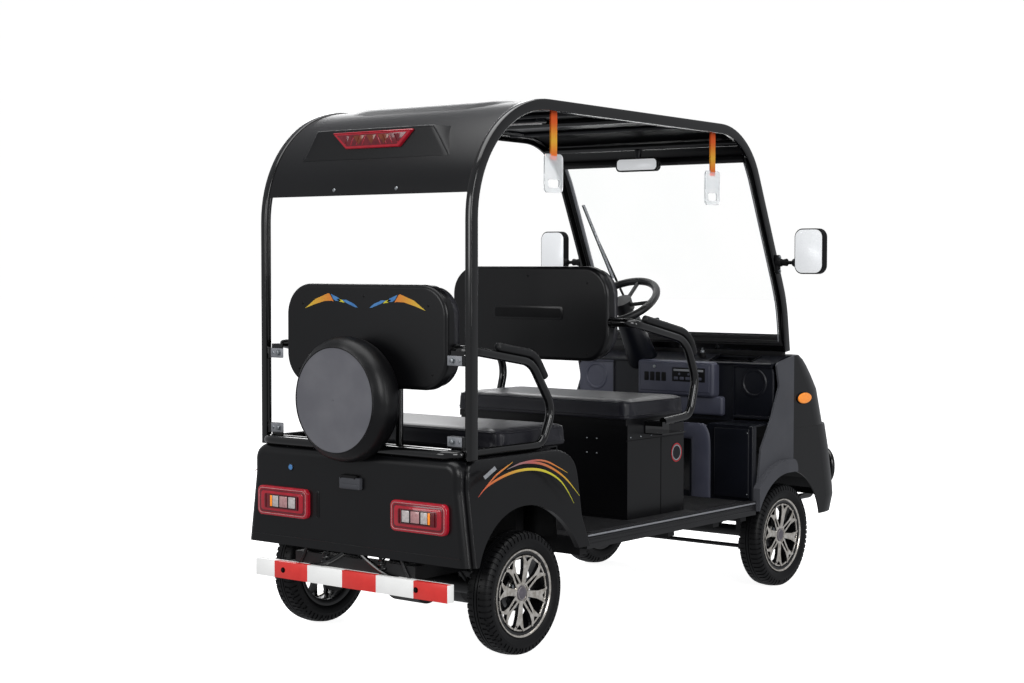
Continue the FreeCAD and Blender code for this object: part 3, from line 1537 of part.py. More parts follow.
# Inside of the front
def dashboard():
    x = dash_half_width
    shelf = side_plate([
        (dash_rear_y, dash_rear_z), (dash_front_y, dash_front_z),
        (dash_front_y, dash_front_z - dash_thickness), (dash_rear_y, dash_rear_z - dash_thickness),
    ], 0, -x, x)
    tray = block(-tray_outer_x, -tray_inner_x, ahead(tray_front_y), ahead(tray_rear_y),
                 dash_rear_z - overrun * 2, dash_front_z + overrun)
    tray_floor = block(-tray_outer_x - panel_wall, panel_wall - tray_inner_x,
                       ahead(tray_front_y) - panel_wall, ahead(tray_rear_y) + panel_wall,
                       dash_rear_z - overrun * 2 - panel_wall, dash_rear_z - dash_thickness)
    shelf = shelf.fuse(tray_floor)
    half = dash_panel_half_width
    y = ahead(dash_rear_y)
    face = block(-half, half, y - dash_panel_depth, y - panel_wall, ledge_height, dash_front_z)
    back_y = ahead(dash_front_y)
    back = block(-x, x, back_y, back_y + panel_wall, ledge_height, dash_front_z - dash_thickness)
    ledge = block(-x, x, back_y, y, ledge_height, ledge_height + panel_wall)
    pieces = [face, back, ledge]
    for side in (-1, 1):
        cheek = side * half
        pieces.append(block(cheek, cheek + side * panel_wall, back_y, y, ledge_height, dash_front_z))
        pod = rod(Vector(side * pod_x, back_y, pod_z),
                  Vector(side * pod_x, ahead(dash_rear_y + panel_wall * 2), pod_z), pod_radius)
        pod = round_edges(pod, pod_radius * pod_edge_share,
                          lambda e: abs(e.BoundBox.YMin - ahead(dash_rear_y + panel_wall * 2)) < seam)
        pieces.append(pod)
    above = side_plate([
        (dash_rear_y, dash_rear_z), (dash_front_y, dash_front_z), (dash_front_y, roof_height),
        (dash_rear_y, roof_height),
    ], 0, -x, x)
    shape = shelf.multiFuse(pieces).cut(above).cut(tray)
    shape = shape.cut(rod(column_joint(), wheel_centre, shroud_radius + seam))
    return plain(shape.cut(shaft_passage()).removeSplitter())


def leg_shield():
    """The wall ahead of the front footwell, with a framed opening for the legs."""
    y = ahead(shield_y)
    x = dash_half_width - seam
    wall = panel_wall
    pieces = []
    for side in (-1, 1):
        pieces.append(block(side * house_wall_x, side * x, y - wall, y, floor_top + seam, ledge_height - seam))
        pieces.append(block(side * (house_wall_x - wall), side * house_wall_x,
                            ahead(toe_high_y), y, floor_top + seam, ledge_height - seam))
        pieces.append(block(side * (house_wall_x - wall), side * x, ahead(dash_rear_y) + seam, y,
                            ledge_height - wall, ledge_height - seam))
    toe = side_plate([
        (floor_front + seam, floor_top), (toe_low_y, floor_top), (toe_high_y, toe_high_z),
        (toe_high_y, toe_high_z - wall * 2), (toe_low_y, floor_top - wall * 2),
        (floor_front + seam, floor_top - wall * 2),
    ], 0, wall - house_wall_x, house_wall_x - wall)
    pieces.append(toe)
    outer = block(-house_wall_x, house_wall_x, y - portal_depth, y, floor_top + seam,
                  ledge_height - wall * 2)
    hole = block(-portal_half_width, portal_half_width, y - portal_depth - overrun, y + overrun,
                 0, portal_top)
    pieces.append(outer.cut(hole))
    shape = pieces[0].multiFuse(pieces[1:])
    return plain(shape.cut(shaft_passage()).removeSplitter())


# Controls
wheel_centre = Vector(column_x, ahead(wheelbase - wheel_centre_from_axle), wheel_centre_height)
face_angle = math.radians(wheel_face_angle)
column_axis = Vector(0, math.cos(face_angle), math.sin(face_angle))


def column_joint():
    """The universal joint at the foot of the steering column."""
    return wheel_centre - column_axis * column_length


def shaft_passage():
    """The space kept free round the shaft from the column to the steering gear."""
    start = column_joint()
    end = Vector(pitman_x, pitman_y, shaft_foot_z)
    line = (end - start).normalize()
    return rod(start - line * overrun, end + line * overrun, column_radius + passage_gap)


def steering_wheel():
    up = AXIS_X.cross(column_axis) * -1
    ring = Part.makeTorus(wheel_rim_radius, wheel_rim_tube, wheel_centre, column_axis)
    hub_at = wheel_centre - column_axis * wheel_dish
    hub = rod(hub_at, hub_at + column_axis * wheel_hub_depth, wheel_hub_radius)
    pieces = [hub]
    for angle in (0, 180, 270):
        turn = math.radians(angle)
        direction = AXIS_X * math.cos(turn) + up * math.sin(turn)
        pieces.append(rod(hub_at + column_axis * wheel_rim_tube,
                          wheel_centre + direction * wheel_rim_radius, spoke_radius))
    shaft = rod(column_joint(), hub_at + column_axis, column_radius)
    return ring.multiFuse(pieces + [shaft]).removeSplitter()


def column_shroud():
    top = wheel_centre - column_axis * (wheel_dish + shroud_gap * 6)
    low = top - column_axis * shroud_length
    outer = rod(low, top, shroud_radius)
    bore = rod(low - column_axis * overrun, top + column_axis * overrun, column_radius + shroud_gap)
    return plain(outer.cut(bore))


def steering_shaft():
    start = column_joint()
    end = Vector(pitman_x, pitman_y, shaft_foot_z)
    line = (end - start).normalize()
    radius = column_radius * shaft_share
    away = (radius + seam) / abs(line.dot(column_axis))
    ball = Part.makeSphere(radius, start + line * away)
    return rod(start + line * away, end, radius).fuse(ball).removeSplitter()


def pedals():
    """Two hung pedals on one cross shaft below the dashboard."""
    shaft = rod(Vector(pedal_x[0] - pedal_width, ahead(pedal_y), pedal_shaft_z),
                Vector(house_wall_x - panel_wall - seam, ahead(pedal_y), pedal_shaft_z), pedal_arm_radius)
    pieces = []
    for x in pedal_x:
        foot = Vector(x, ahead(pedal_y - pedal_reach), pedal_z)
        pieces.append(rod(Vector(x, ahead(pedal_y), pedal_shaft_z), foot, pedal_arm_radius))
        pieces.append(block(x - pedal_width / 2, x + pedal_width / 2, foot.y, foot.y + panel_wall * 2,
                            pedal_z - pedal_width / 2, pedal_z + pedal_width / 2))
    return shaft.multiFuse(pieces).removeSplitter()


wheels = {
    "fl": (front_left_wheel, 1), "fr": (Vector(-wheel_x, front_axle_y, tyre_radius), -1),
    "rl": (rear_left_wheel, 1), "rr": (Vector(-wheel_x, rear_axle_y, tyre_radius), -1),
}

parts = {
    "chassis_frame": chassis_frame(),
    "rear_axle": rear_axle(),
    "front_axle": front_axle(),
    "shocks": Part.makeCompound([front_shocks(), rear_shocks()]),
    "knuckle_left": knuckle(1),
    "knuckle_right": knuckle(-1),
    "track_rod": track_rod(),
    "pitman_arm": pitman_arm(),
    "steering_gear": steering_gear(),
    "steering_shaft": steering_shaft(),
    "floor_pan": floor_pan(),
    "sills": sills(),
    "rear_panel": rear_panel(),
    "rear_fenders": rear_fenders(),
    "rear_deck": Part.makeCompound([rear_deck(), rear_seat_base()]),
    "rear_lamps": Part.makeCompound([tail_lamps(), plate_lamp(), brake_lamp()]),
    "bumper_bar": bumper_bar(),
    "front_cushion": cushion(front_cushion_rear, front_cushion_depth, front_cushion_bottom),
    "rear_cushion": cushion(rear_cushion_rear, rear_cushion_depth, rear_body_top + seam),
    "front_backrest_shell": front_shell,
    "front_backrest_pad": front_pad,
    "rear_backrest_shell": rear_shell,
    "rear_backrest_pad": rear_pad,
    "seat_box": seat_box(),
    "battery_block": battery_block(),
    "front_arms": front_arms(),
    "rear_arm_frame": rear_arm_frame(),
    "arm_pads": arm_pads(),
    "spare_cover": spare_cover(),
    "roof_frame": roof_frame(),
    "roof_panel": roof_panel(),
    "windscreen": windscreen(),
    "wiper": wiper(),
    "mirrors": Part.makeCompound([interior_mirror(), side_mirrors()]),
    "strap_handles": strap_handles(),
    "lower_cowl": lower_cowl(),
    "upper_cowl": upper_cowl(),
    "front_lamps": Part.makeCompound([headlamps(), side_markers()]),
    "front_hoop": front_hoop(),
    "side_fairings": side_fairings(),
    "dashboard": dashboard(),
    "leg_shield": leg_shield(),
    "steering_wheel": steering_wheel(),
    "column_shroud": column_shroud(),
    "pedals": pedals(),
}
for corner, (centre, side) in wheels.items():
    parts["tyre_" + corner] = tyre(centre)
    parts["rim_" + corner] = rim(centre, side)

os.makedirs("parts", exist_ok=True)
for name, shape in parts.items():
    shape.exportStep("parts/" + name + ".step")
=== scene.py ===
import math

import bmesh
import bpy
from bpy.props import FloatProperty, FloatVectorProperty, IntProperty, PointerProperty
from mathutils import Matrix, Vector, noise
from mathutils.bvhtree import BVHTree


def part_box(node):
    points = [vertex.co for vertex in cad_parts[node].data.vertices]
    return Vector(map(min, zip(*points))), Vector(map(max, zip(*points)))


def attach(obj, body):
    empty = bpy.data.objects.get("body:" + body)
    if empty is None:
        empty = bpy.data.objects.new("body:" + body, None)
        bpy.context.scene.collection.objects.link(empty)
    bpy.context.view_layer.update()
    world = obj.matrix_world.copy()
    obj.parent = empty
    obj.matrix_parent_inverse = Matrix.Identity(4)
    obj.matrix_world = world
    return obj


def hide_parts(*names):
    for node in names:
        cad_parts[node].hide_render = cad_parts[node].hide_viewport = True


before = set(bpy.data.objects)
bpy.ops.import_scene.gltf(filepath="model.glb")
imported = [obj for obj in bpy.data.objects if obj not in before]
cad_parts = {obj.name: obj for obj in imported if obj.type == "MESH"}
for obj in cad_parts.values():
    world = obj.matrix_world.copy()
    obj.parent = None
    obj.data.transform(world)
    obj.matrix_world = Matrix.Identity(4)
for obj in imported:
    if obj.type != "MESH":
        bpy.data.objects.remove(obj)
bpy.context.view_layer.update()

bl_info = {
    "name": "Golf cart finish",
    "version": (1, 0, 0),
    "blender": (4, 5, 0),
    "location": "View3D > Sidebar > Golf cart",
    "description": "Finishes, upholstery, lamps and trim for the golf cart",
    "category": "Object",
}

MM = 0.001
REAR_AXLE = 0.9535
CORNERS = ("fl", "fr", "rl", "rr")
SIDE_NAME = {1: "left", -1: "right"}


def ahead(distance):
    """Row y in mm of a place that far ahead of the rear axle."""
    return REAR_AXLE / MM - distance


# Colours and materials

def srgb(code):
    """Linear colour of an sRGB hex code."""
    values = [int(code[i:i + 2], 16) / 255 for i in (1, 3, 5)]
    return [v / 12.92 if v <= 0.04045 else ((v + 0.055) / 1.055) ** 2.4 for v in values] + [1.0]


def add_node(tree, kind, links=None, **settings):
    """Adds a shader node with its settings, and sets or links its inputs."""
    node = tree.nodes.new("ShaderNode" + kind)
    for key, value in settings.items():
        setattr(node, key, value)
    for socket, value in (links or {}).items():
        if isinstance(value, bpy.types.NodeSocket):
            tree.links.new(value, node.inputs[socket])
        else:
            node.inputs[socket].default_value = value
    return node


def plain(name, colour, roughness, **sockets):
    """A material with its values set on the shader's own sockets; a hex code is a colour."""
    material = bpy.data.materials.new(name)
    material.use_nodes = True
    tree = material.node_tree
    shader = tree.nodes["Principled BSDF"]
    for socket, value in {"Base_Color": colour, "Roughness": roughness, **sockets}.items():
        value = srgb(value) if isinstance(value, str) else value
        shader.inputs[socket.replace("_", " ")].default_value = value
    return material, tree, shader


def mottled(tree, shader, colour, other, size):
    """Lets the colour drift between two close tones over patches of that size in mm."""
    place = add_node(tree, "TexCoord").outputs["Object"]
    patches = add_node(tree, "TexNoise", {"Vector": place, "Scale": 1 / (size * MM), "Detail": 3.0})
    ramp = add_node(tree, "ValToRGB", {"Fac": patches.outputs[0]})
    ramp.color_ramp.elements[0].position = 0.35
    ramp.color_ramp.elements[1].position = 0.7
    ramp.color_ramp.elements[0].color = srgb(colour)
    ramp.color_ramp.elements[1].color = srgb(other)
    tree.links.new(ramp.outputs[0], shader.inputs["Base Color"])
    return place


def grained(tree, shader, place, size, depth, cells=False):
    """Moulded or pressed grain: size and depth in mm, in cells as on hide or in fine noise."""
    kind = "TexVoronoi" if cells else "TexNoise"
    settings = {"feature": "DISTANCE_TO_EDGE"} if cells else {}
    grain = add_node(tree, kind, {"Vector": place, "Scale": 1 / (size * MM)}, **settings)
    bump = add_node(tree, "Bump", {"Strength": 0.6, "Distance": depth * MM, "Height": grain.outputs[0]})
    tree.links.new(bump.outputs[0], shader.inputs["Normal"])


def moulded(name, colour, other, roughness, patch, grain, depth, cells=False, **sockets):
    """Plastic, rubber, vinyl, metal or glass: two close tones and, unless grain is 0, a grained surface."""
    material, tree, shader = plain(name, colour, roughness, **sockets)
    place = mottled(tree, shader, colour, other, patch)
    if grain:
        grained(tree, shader, place, grain, depth, cells)
    return material


def graded(name, colours, axis, ends, roughness=0.38, ribs=0.0):
    """A finish that runs through colours along an axis, between two places in mm."""
    material, tree, shader = plain(name, colours[0], roughness)
    place = add_node(tree, "TexCoord").outputs["Object"]
    parts = add_node(tree, "SeparateXYZ", {"Vector": place})
    low, high = (end * MM for end in ends)
    share = add_node(tree, "MapRange", {"Value": parts.outputs[axis], "From Min": low, "From Max": high})
    ramp = add_node(tree, "ValToRGB", {"Fac": share.outputs[0]})
    stops = ramp.color_ramp.elements
    while len(stops) < len(colours):
        stops.new(0.5)
    for number, (stop, colour) in enumerate(zip(stops, colours)):
        stop.position = number / (len(colours) - 1)
        stop.color = srgb(colour)
    tree.links.new(ramp.outputs[0], shader.inputs["Base Color"])
    if ribs:
        wave = add_node(tree, "TexWave", {"Vector": place, "Scale": 1 / (ribs * MM) / math.tau * 2},
                        bands_direction="Z")
        bump = add_node(tree, "Bump", {"Strength": 0.7, "Distance": 0.3 * MM, "Height": wave.outputs["Fac"]})
        tree.links.new(bump.outputs[0], shader.inputs["Normal"])
    else:
        grained(tree, shader, place, 2.0, 0.02)
    return material


ACRYLIC = {"Coat_Weight": 0.6, "Coat_Roughness": 0.04, "IOR": 1.49}
SHEETING = {"Coat_Weight": 0.3, "Coat_Roughness": 0.1}

# Finish: material, two close tones, roughness, size in mm of the patches and of the grain, depth of the
# grain in mm, True where the grain lies in cells as on hide, and the shader's own sockets
MOULDED = {
    # Satin injection-moulded ABS body panels: deep black with a soft broad highlight
    "body": ("black_moulded_abs", "#0c0c0e", "#101012", 0.28, 260, 2.6, 0.02, {"Specular_IOR_Level": 0.4}),
    # Dark grey textured polypropylene of the front fairings: fine etched grain, low gloss
    "fairing": ("grey_textured_polypropylene", "#505156", "#58595e", 0.55, 150, 1.6, 0.1,
                {"Specular_IOR_Level": 0.3}),
    # Blue-black ABS of the cabin mouldings: leather-like pressed grain, satin
    "cabin": ("blue_black_grained_abs", "#0e1017", "#14161e", 0.36, 160, 1.8, 0.12, True,
              {"Specular_IOR_Level": 0.4}),
    # Gloss powder coat on bent steel tube: slight orange peel under a clear gloss
    "tube": ("gloss_black_powder_coat", "#030304", "#060607", 0.14, 200, 6.0, 0.02,
             {"Coat_Weight": 0.5, "Coat_Roughness": 0.06}),
    # Chip-resistant paint on the chassis: flat black with road dust in broad patches
    "chassis": ("black_chassis_paint", "#0a0a0c", "#131315", 0.6, 90, 3.0, 0.15, {}),
    "axle": ("black_cast_iron_paint", "#101012", "#19191b", 0.5, 60, 2.2, 0.3, {}),
    # Drawn zinc-plated steel: pale grey with faint cloudy passivation
    "zinc": ("zinc_plated_steel", "#a9adb0", "#8d9195", 0.34, 14, 1.2, 0.04, {"Metallic": 1.0}),
    "spring": ("painted_spring_steel", "#1a1a1c", "#2a2a2c", 0.38, 30, 2.0, 0.06, {}),
    # Vulcanised natural rubber: charcoal, dull, with a bloom of grey
    "tyre": ("vulcanised_rubber", "#08080a", "#0d0d0f", 0.46, 40, 1.5, 0.1, {"Specular_IOR_Level": 0.3}),
    "mat": ("ribbed_floor_rubber", "#141416", "#1c1c1f", 0.75, 60, 1.4, 0.12, {}),
    # Soft polyurethane integral-skin foam of the arm pads and the steering wheel grip
    "foam": ("integral_skin_foam", "#0a0a0c", "#101013", 0.42, 60, 1.6, 0.16, True, {}),
    # Calendered PVC upholstery vinyl over foam: hide grain and a soft sheen
    "vinyl": ("grained_upholstery_vinyl", "#17171e", "#1d1d25", 0.34, 120, 2.4, 0.12, True,
              {"Sheen_Weight": 0.05, "Specular_IOR_Level": 0.4}),
    # Black cover vinyl, and a light grey copy of it for the face: the face's grey is a painted lit face
    # against the black sides
    "cover": ("coated_cover_vinyl", "#08080a", "#0c0c0e", 0.36, 110, 2.2, 0.1, True,
              {"Specular_IOR_Level": 0.38}),
    "cover_painted_lit_face": ("cover_vinyl_painted_lit_face", "#6c6c72", "#76767b", 0.5, 110, 2.2, 0.08, True,
                   {"Specular_IOR_Level": 0.35}),
    # Turned and lacquered cast aluminium of the wheel faces, and the black lacquer between the spokes
    "alloy": ("machined_cast_aluminium", "#fffaf2", "#c4bcb0", 0.2, 16, 3.2, 0.05, {"Metallic": 0.78}),
    "pocket": ("black_lacquered_aluminium", "#0c0c0e", "#131315", 0.3, 40, 1.4, 0.05,
               {"Coat_Weight": 0.4, "Coat_Roughness": 0.1}),
    # Acrylic lenses: dyed through, polished outside, over a bright or dark housing
    "red_lens": ("red_dyed_acrylic", "#b5142a", "#9c1024", 0.12, 30, 3.0, 0.1,
                 {"Emission_Strength": 0.12, "Emission_Color": "#c81c30", **ACRYLIC}),
    "dark_red": ("deep_red_acrylic", "#7c1222", "#640c1a", 0.16, 20, 2.6, 0.2, ACRYLIC),
    "clear_cell": ("prismatic_clear_acrylic", "#e3dcd9", "#c9bfbd", 0.14, 9, 2.8, 0.4, ACRYLIC),
    # Pale pink acrylic of the real lamp cells, also used for the painted highlight ring of the tail lamps
    "pink_cell_and_painted_highlight": ("pale_pink_acrylic_and_painted_highlight", "#d7a7a6", "#c08a8c", 0.14, 9, 2.8, 0.4, ACRYLIC),
    "amber": ("amber_dyed_acrylic", "#f6922a", "#ee7f1c", 0.14, 16, 2.6, 0.3,
              {"Emission_Strength": 0.45, "Emission_Color": "#f6962e", **ACRYLIC}),
    "amber_dark": ("smoked_amber_acrylic", "#8a3a16", "#6e2c12", 0.16, 20, 2.6, 0.2, ACRYLIC),
    "chrome": ("vacuum_metallised_reflector", "#d9dbdd", "#c6c8cb", 0.1, 30, 6.0, 0.05, {"Metallic": 1.0}),
    # Retroreflective sheeting on the rear bar: red and white fields, each with a painted glow in emission
    # that makes it brighter than its lighting
    "red_sheet": ("red_retroreflective_sheeting_painted_glow", "#f03a34", "#e5322d", 0.34, 40, 2.4, 0.03,
                  {"Emission_Strength": 0.12, "Emission_Color": "#f03a34", **SHEETING}),
    "white_sheet": ("white_retroreflective_sheeting_painted_glow", "#f8f8f6", "#f0f0ee", 0.34, 40, 2.4, 0.03,
                    {"Emission_Strength": 0.28, "Emission_Color": "#f8f8f6", **SHEETING}),
    # Mirror glass: its brightness is in part a painted reflection, an even glow in emission
    "mirror": ("silvered_mirror_glass_painted_reflection", "#dfe1e3", "#d6d8da", 0.22, 300, 60.0, 0.01,
               {"Metallic": 0.1, "Specular_IOR_Level": 0.4, "Emission_Strength": 0.42,
                "Emission_Color": "#f4f6f8"}),
    "battery": ("battery_polypropylene", "#17171a", "#202024", 0.5, 90, 1.6, 0.1, {}),
    "dark": ("unlit_black_abs", "#08080a", "#0d0d0f", 0.6, 60, 1.6, 0.1, {"Specular_IOR_Level": 0.25}),
    # Pale grey ABS of the real pale trim, and the same pale grey for painted highlights on the sills' top
    # edges and down the far screen pillar
    "grey_trim_and_painted_highlight": ("pale_grey_abs_and_painted_highlight", "#8d8f94", "#9a9ca1", 0.42, 60, 1.6, 0.06, {}),
    # Extruded sill section, black anodised with fine draw lines
    "sill": ("black_anodised_extrusion", "#1a1a1c", "#232325", 0.36, 200, 1.2, 0.06,
             {"Specular_IOR_Level": 0.5}),
    # Screen-printed vinyl film in one colour
    "film_silver": ("silver_vinyl_film", "#9b9da1", "#b2b4b8", 0.35, 20, 2.0, 0.02, {}),
    "film_blue": ("blue_vinyl_film", "#3f7fc4", "#5a97d2", 0.35, 30, 2.0, 0.02, {}),
    "film_yellow": ("yellow_vinyl_film", "#e6dc3a", "#d9cf33", 0.35, 30, 2.0, 0.02, {}),
    "film_red": ("red_vinyl_film", "#c8343a", "#b82c32", 0.35, 30, 2.0, 0.02, {}),
    # Slate-blue soft-touch moulding of the console and the leg opening's frame
    "console": ("slate_soft_touch_abs", "#484a59", "#525462", 0.42, 120, 1.8, 0.1, True,
                {"Specular_IOR_Level": 0.45}),
    "seal": ("extruded_black_rubber", "#0b0b0d", "#121214", 0.5, 60, 1.4, 0.08, {}),
    # Grey plastic cap with a satin metallic paint
    "cap_grey": ("satin_grey_cap_paint", "#7d7880", "#6c6870", 0.4, 12, 1.2, 0.04, {"Metallic": 0.4}),
    # Float glass of the windscreen, moulded handles, and the headlamps' hard-coated polished lens
    "glass": ("laminated_screen_glass", "#ffffff", "#fbfdfc", 0.0, 400, 0, 0,
              {"Transmission_Weight": 1.0, "IOR": 1.08, "Specular_IOR_Level": 0.1}),
    "clear": ("clear_polycarbonate", "#fafbfc", "#f1f4f6", 0.06, 60, 30, 0.05,
              {"Transmission_Weight": 0.6, "IOR": 1.2}),
    "lens": ("hard_coated_clear_lens", "#ffffff", "#f7fafb", 0.02, 60, 0, 0,
             {"Transmission_Weight": 0.96, "IOR": 1.2}),
}

# Finishes that run through colours along an axis: the striped film, and woven webbing with ribs across it
WEBBING = ("#f4521e", "#f2641e", "#f2b430", "#f2561e")
WEBBING_LOOK = (0.75, 2.4)
GRADED = {
    "film_warm": ("orange_to_yellow_vinyl_film", ("#e2584a", "#ea8a44", "#e8cc44", "#e2da3a", "#dedc36"), 1,
                  (ahead(-286), ahead(232))),
    "film_cool": ("grey_to_yellow_vinyl_film", ("#8f9196", "#c86a66", "#ec8c34", "#e2dc38"), 1,
                  (ahead(-127), ahead(263))),
    "film_wedge": ("red_to_yellow_vinyl_film", ("#e9d63c", "#ee8a2e", "#e04a3e", "#ee8a2e", "#e9d63c"), 0,
                   (-298, 298)),
    "webbing_rear": ("webbing_polyester_rear", WEBBING, 2, (1804, 1623), *WEBBING_LOOK),
    "webbing_front": ("webbing_polyester_front", WEBBING, 2, (1789, 1608), *WEBBING_LOOK),
}


def make_materials():
    """Every finish of the cart by its common name."""
    finishes = {key: graded(*row) for key, row in GRADED.items()}
    for key, (*values, sockets) in MOULDED.items():
        finishes[key] = moulded(*values, **sockets)
    return finishes


FINISH = {}


# Mesh helpers

MERGE = 1e-6


def add_object(name, data):
    """A new object, linked to the scene."""
    added = bpy.data.objects.new(name, data)
    bpy.context.scene.collection.objects.link(added)
    return added


def mesh_object(name, bm):
    """Turns a bmesh in metres into an object, and frees it."""
    mesh = bpy.data.meshes.new(name)
    bm.to_mesh(mesh)
    bm.free()
    return add_object(name, mesh)


def finish_piece(name, bm, finishes, replaced=(), body="cart", angle=32, bevel=0.0):
    """Turns a bmesh in metres into a piece that rides on a body."""
    bmesh.ops.remove_doubles(bm, verts=bm.verts, dist=MERGE)
    bmesh.ops.recalc_face_normals(bm, faces=bm.faces)
    for edge in bm.edges:
        edge.smooth = len(edge.link_faces) == 2 and edge.calc_face_angle(0) < math.radians(angle)
    for face in bm.faces:
        face.smooth = True
    piece = mesh_object(name, bm)
    for finish in finishes:
        piece.data.materials.append(FINISH[finish])
    if bevel:
        edge_bevel = piece.modifiers.new("edge_rounding", "BEVEL")
        edge_bevel.width = bevel * MM
        edge_bevel.segments = 2
        edge_bevel.limit_method = "ANGLE"
        edge_bevel.angle_limit = math.radians(40)
    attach(piece, body)
    if replaced:
        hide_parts(*replaced)
    return piece


def paint(faces, index):
    """Gives faces the finish at an index of their piece."""
    for face in faces:
        face.material_index = index
    return list(faces)


def round_off(bm, edges, width, segments=2):
    """Bevels edges by a width in mm."""
    bmesh.ops.bevel(bm, geom=list(edges), offset=width * MM, offset_type="OFFSET", affect="EDGES",
                    segments=segments, profile=0.5, material=-1)


def block(bm, low, high, index=0, bevel=0.0, segments=2):
    """A box between two corners in mm, with rounded edges."""
    before = set(bm.faces)
    low, high = Vector(low), Vector(high)
    made = bmesh.ops.create_cube(bm, size=1.0)
    bmesh.ops.scale(bm, vec=(high - low) * MM, verts=made["verts"])
    bmesh.ops.translate(bm, vec=(low + high) / 2 * MM, verts=made["verts"])
    if bevel:
        round_off(bm, {e for v in made["verts"] for e in v.link_edges}, bevel, segments)
    return paint(set(bm.faces) - before, index)


def side_block(bm, side, low, high, *look):
    """A box given for the left side (side 1) and mirrored for the right one (side -1)."""
    near, far = sorted((side * low[0], side * high[0]))
    return block(bm, (near, *low[1:]), (far, *high[1:]), *look)


def sided(side, points):
    """Points given for the left side (side 1) and mirrored for the right one (side -1)."""
    return [(side * x, y, z) for x, y, z in points]


def blocks(bm, y, rows):
    """Boxes from rows of both corners and the look, their y counted from a place in mm."""
    for x0, y0, z0, x1, y1, z1, *look in rows:
        block(bm, (x0, y + y0, z0), (x1, y + y1, z1), *look)


def turn_to(axis):
    """Rotation that takes +Z to an axis."""
    return Vector((0, 0, 1)).rotation_difference(Vector(axis).normalized()).to_matrix()


def disc(bm, start, end, radius, far_radius=None, index=0, sides=32, bevel=0.0):
    """A round rod or cone from one point to another, in mm."""
    before = set(bm.faces)
    start, end = Vector(start), Vector(end)
    far = radius if far_radius is None else far_radius
    made = bmesh.ops.create_cone(bm, cap_ends=True, segments=sides, radius1=radius * MM, radius2=far * MM,
                                 depth=(end - start).length * MM)
    bmesh.ops.rotate(bm, cent=(0, 0, 0), matrix=turn_to(end - start), verts=made["verts"])
    bmesh.ops.translate(bm, vec=(start + end) / 2 * MM, verts=made["verts"])
    if bevel:
        round_off(bm, {e for f in set(bm.faces) - before if len(f.verts) > 4 for e in f.edges}, bevel)
    return paint(set(bm.faces) - before, index)


def lathe(bm, profile, centre, axis, index=0, steps=64):
    """Spins a profile of (radius, distance along the axis) in mm about an axis."""
    before = set(bm.faces)
    turn = turn_to(axis)
    centre = Vector(centre) * MM
    verts = [bm.verts.new(turn @ Vector((r * MM, 0, t * MM)) + centre) for r, t in profile]
    edges = [bm.edges.new(pair) for pair in zip(verts, verts[1:])]
    bmesh.ops.spin(bm, geom=verts + edges, cent=centre, axis=turn @ Vector((0, 0, 1)),
                   angle=math.tau, steps=steps, use_merge=True)
    return paint(set(bm.faces) - before, index)


def stack(bm, place, axis, rows):
    """Discs on one axis: rows of (from, to, radius, far radius, finish, sides, bevel)."""
    place, axis = Vector(place), Vector(axis)
    for start, end, *look in rows:
        disc(bm, place + axis * start, place + axis * end, *look)


def lathes(bm, centre, axis, rows):
    """Turned parts on one axis: rows of (finish, steps, profile)."""
    for index, steps, profile in rows:
        lathe(bm, profile, centre, axis, index, steps)


def round_turn(steps):
    """Cosine and sine at even steps of a turn."""
    return [(math.cos(math.tau * k / steps), math.sin(math.tau * k / steps)) for k in range(steps)]


def rounded(width, height, radius, steps=5, centre=(0, 0)):
    """Points round a rectangle with rounded corners."""
    points = []
    for corner, (sx, sy) in enumerate(((1, 1), (-1, 1), (-1, -1), (1, -1))):
        for step in range(steps + 1):
            turn = math.radians(90 * corner + 90 * step / steps)
            points.append((centre[0] + sx * (width / 2 - radius) + radius * math.cos(turn),
                           centre[1] + sy * (height / 2 - radius) + radius * math.sin(turn)))
    return points


def plate(bm, points, place, depth, index=0, bevel=0.0, segments=2):
    """Extrudes an outline: place turns (u, v, height) in mm into a point of the row frame."""
    before = set(bm.faces)
    base = bm.faces.new([bm.verts.new(Vector(place(u, v, 0.0)) * MM) for u, v in points])
    made = bmesh.ops.extrude_face_region(bm, geom=[base])
    top = [g for g in made["geom"] if isinstance(g, bmesh.types.BMVert)]
    lift = Vector(place(0.0, 0.0, depth)) - Vector(place(0.0, 0.0, 0.0))
    bmesh.ops.translate(bm, vec=lift * MM, verts=top)
    if bevel:
        top = set(top)
        round_off(bm, {e for e in bm.edges if set(e.verts) <= top}, bevel, segments)
    return paint(set(bm.faces) - before, index)


def upright(bm, points, y, depth, *look):
    """Extrudes an outline of (x, z) towards the rear from a place in mm."""
    return plate(bm, points, lambda u, v, h: (u, y + h, v), depth, *look)


def tube(bm, points, radius, index=0, sides=8, cyclic=False, smooth=True, radii=None):
    """A round tube along points in mm, through a curve that is made a mesh; radii taper it."""
    curve = bpy.data.curves.new("path", "CURVE")
    curve.dimensions = "3D"
    curve.bevel_depth = radius * MM
    curve.bevel_resolution = max(1, sides // 4)
    curve.use_fill_caps = not cyclic
    curve.resolution_u = 4
    spline = curve.splines.new("NURBS" if smooth else "POLY")
    spline.points.add(len(points) - 1)
    for spot, point in zip(spline.points, points):
        spot.co = (*(Vector(point) * MM), 1.0)
    for spot, share in zip(spline.points, radii or ()):
        spot.radius = share
    if smooth:
        spline.order_u = 3
        spline.use_endpoint_u = not cyclic
    spline.use_cyclic_u = cyclic
    holder = bpy.data.objects.new("path", curve)
    mesh = bpy.data.meshes.new_from_object(holder)
    before = set(bm.faces)
    bm.from_mesh(mesh)
    paint(set(bm.faces) - before, index)
    bpy.data.objects.remove(holder)
    bpy.data.curves.remove(curve)
    bpy.data.meshes.remove(mesh)


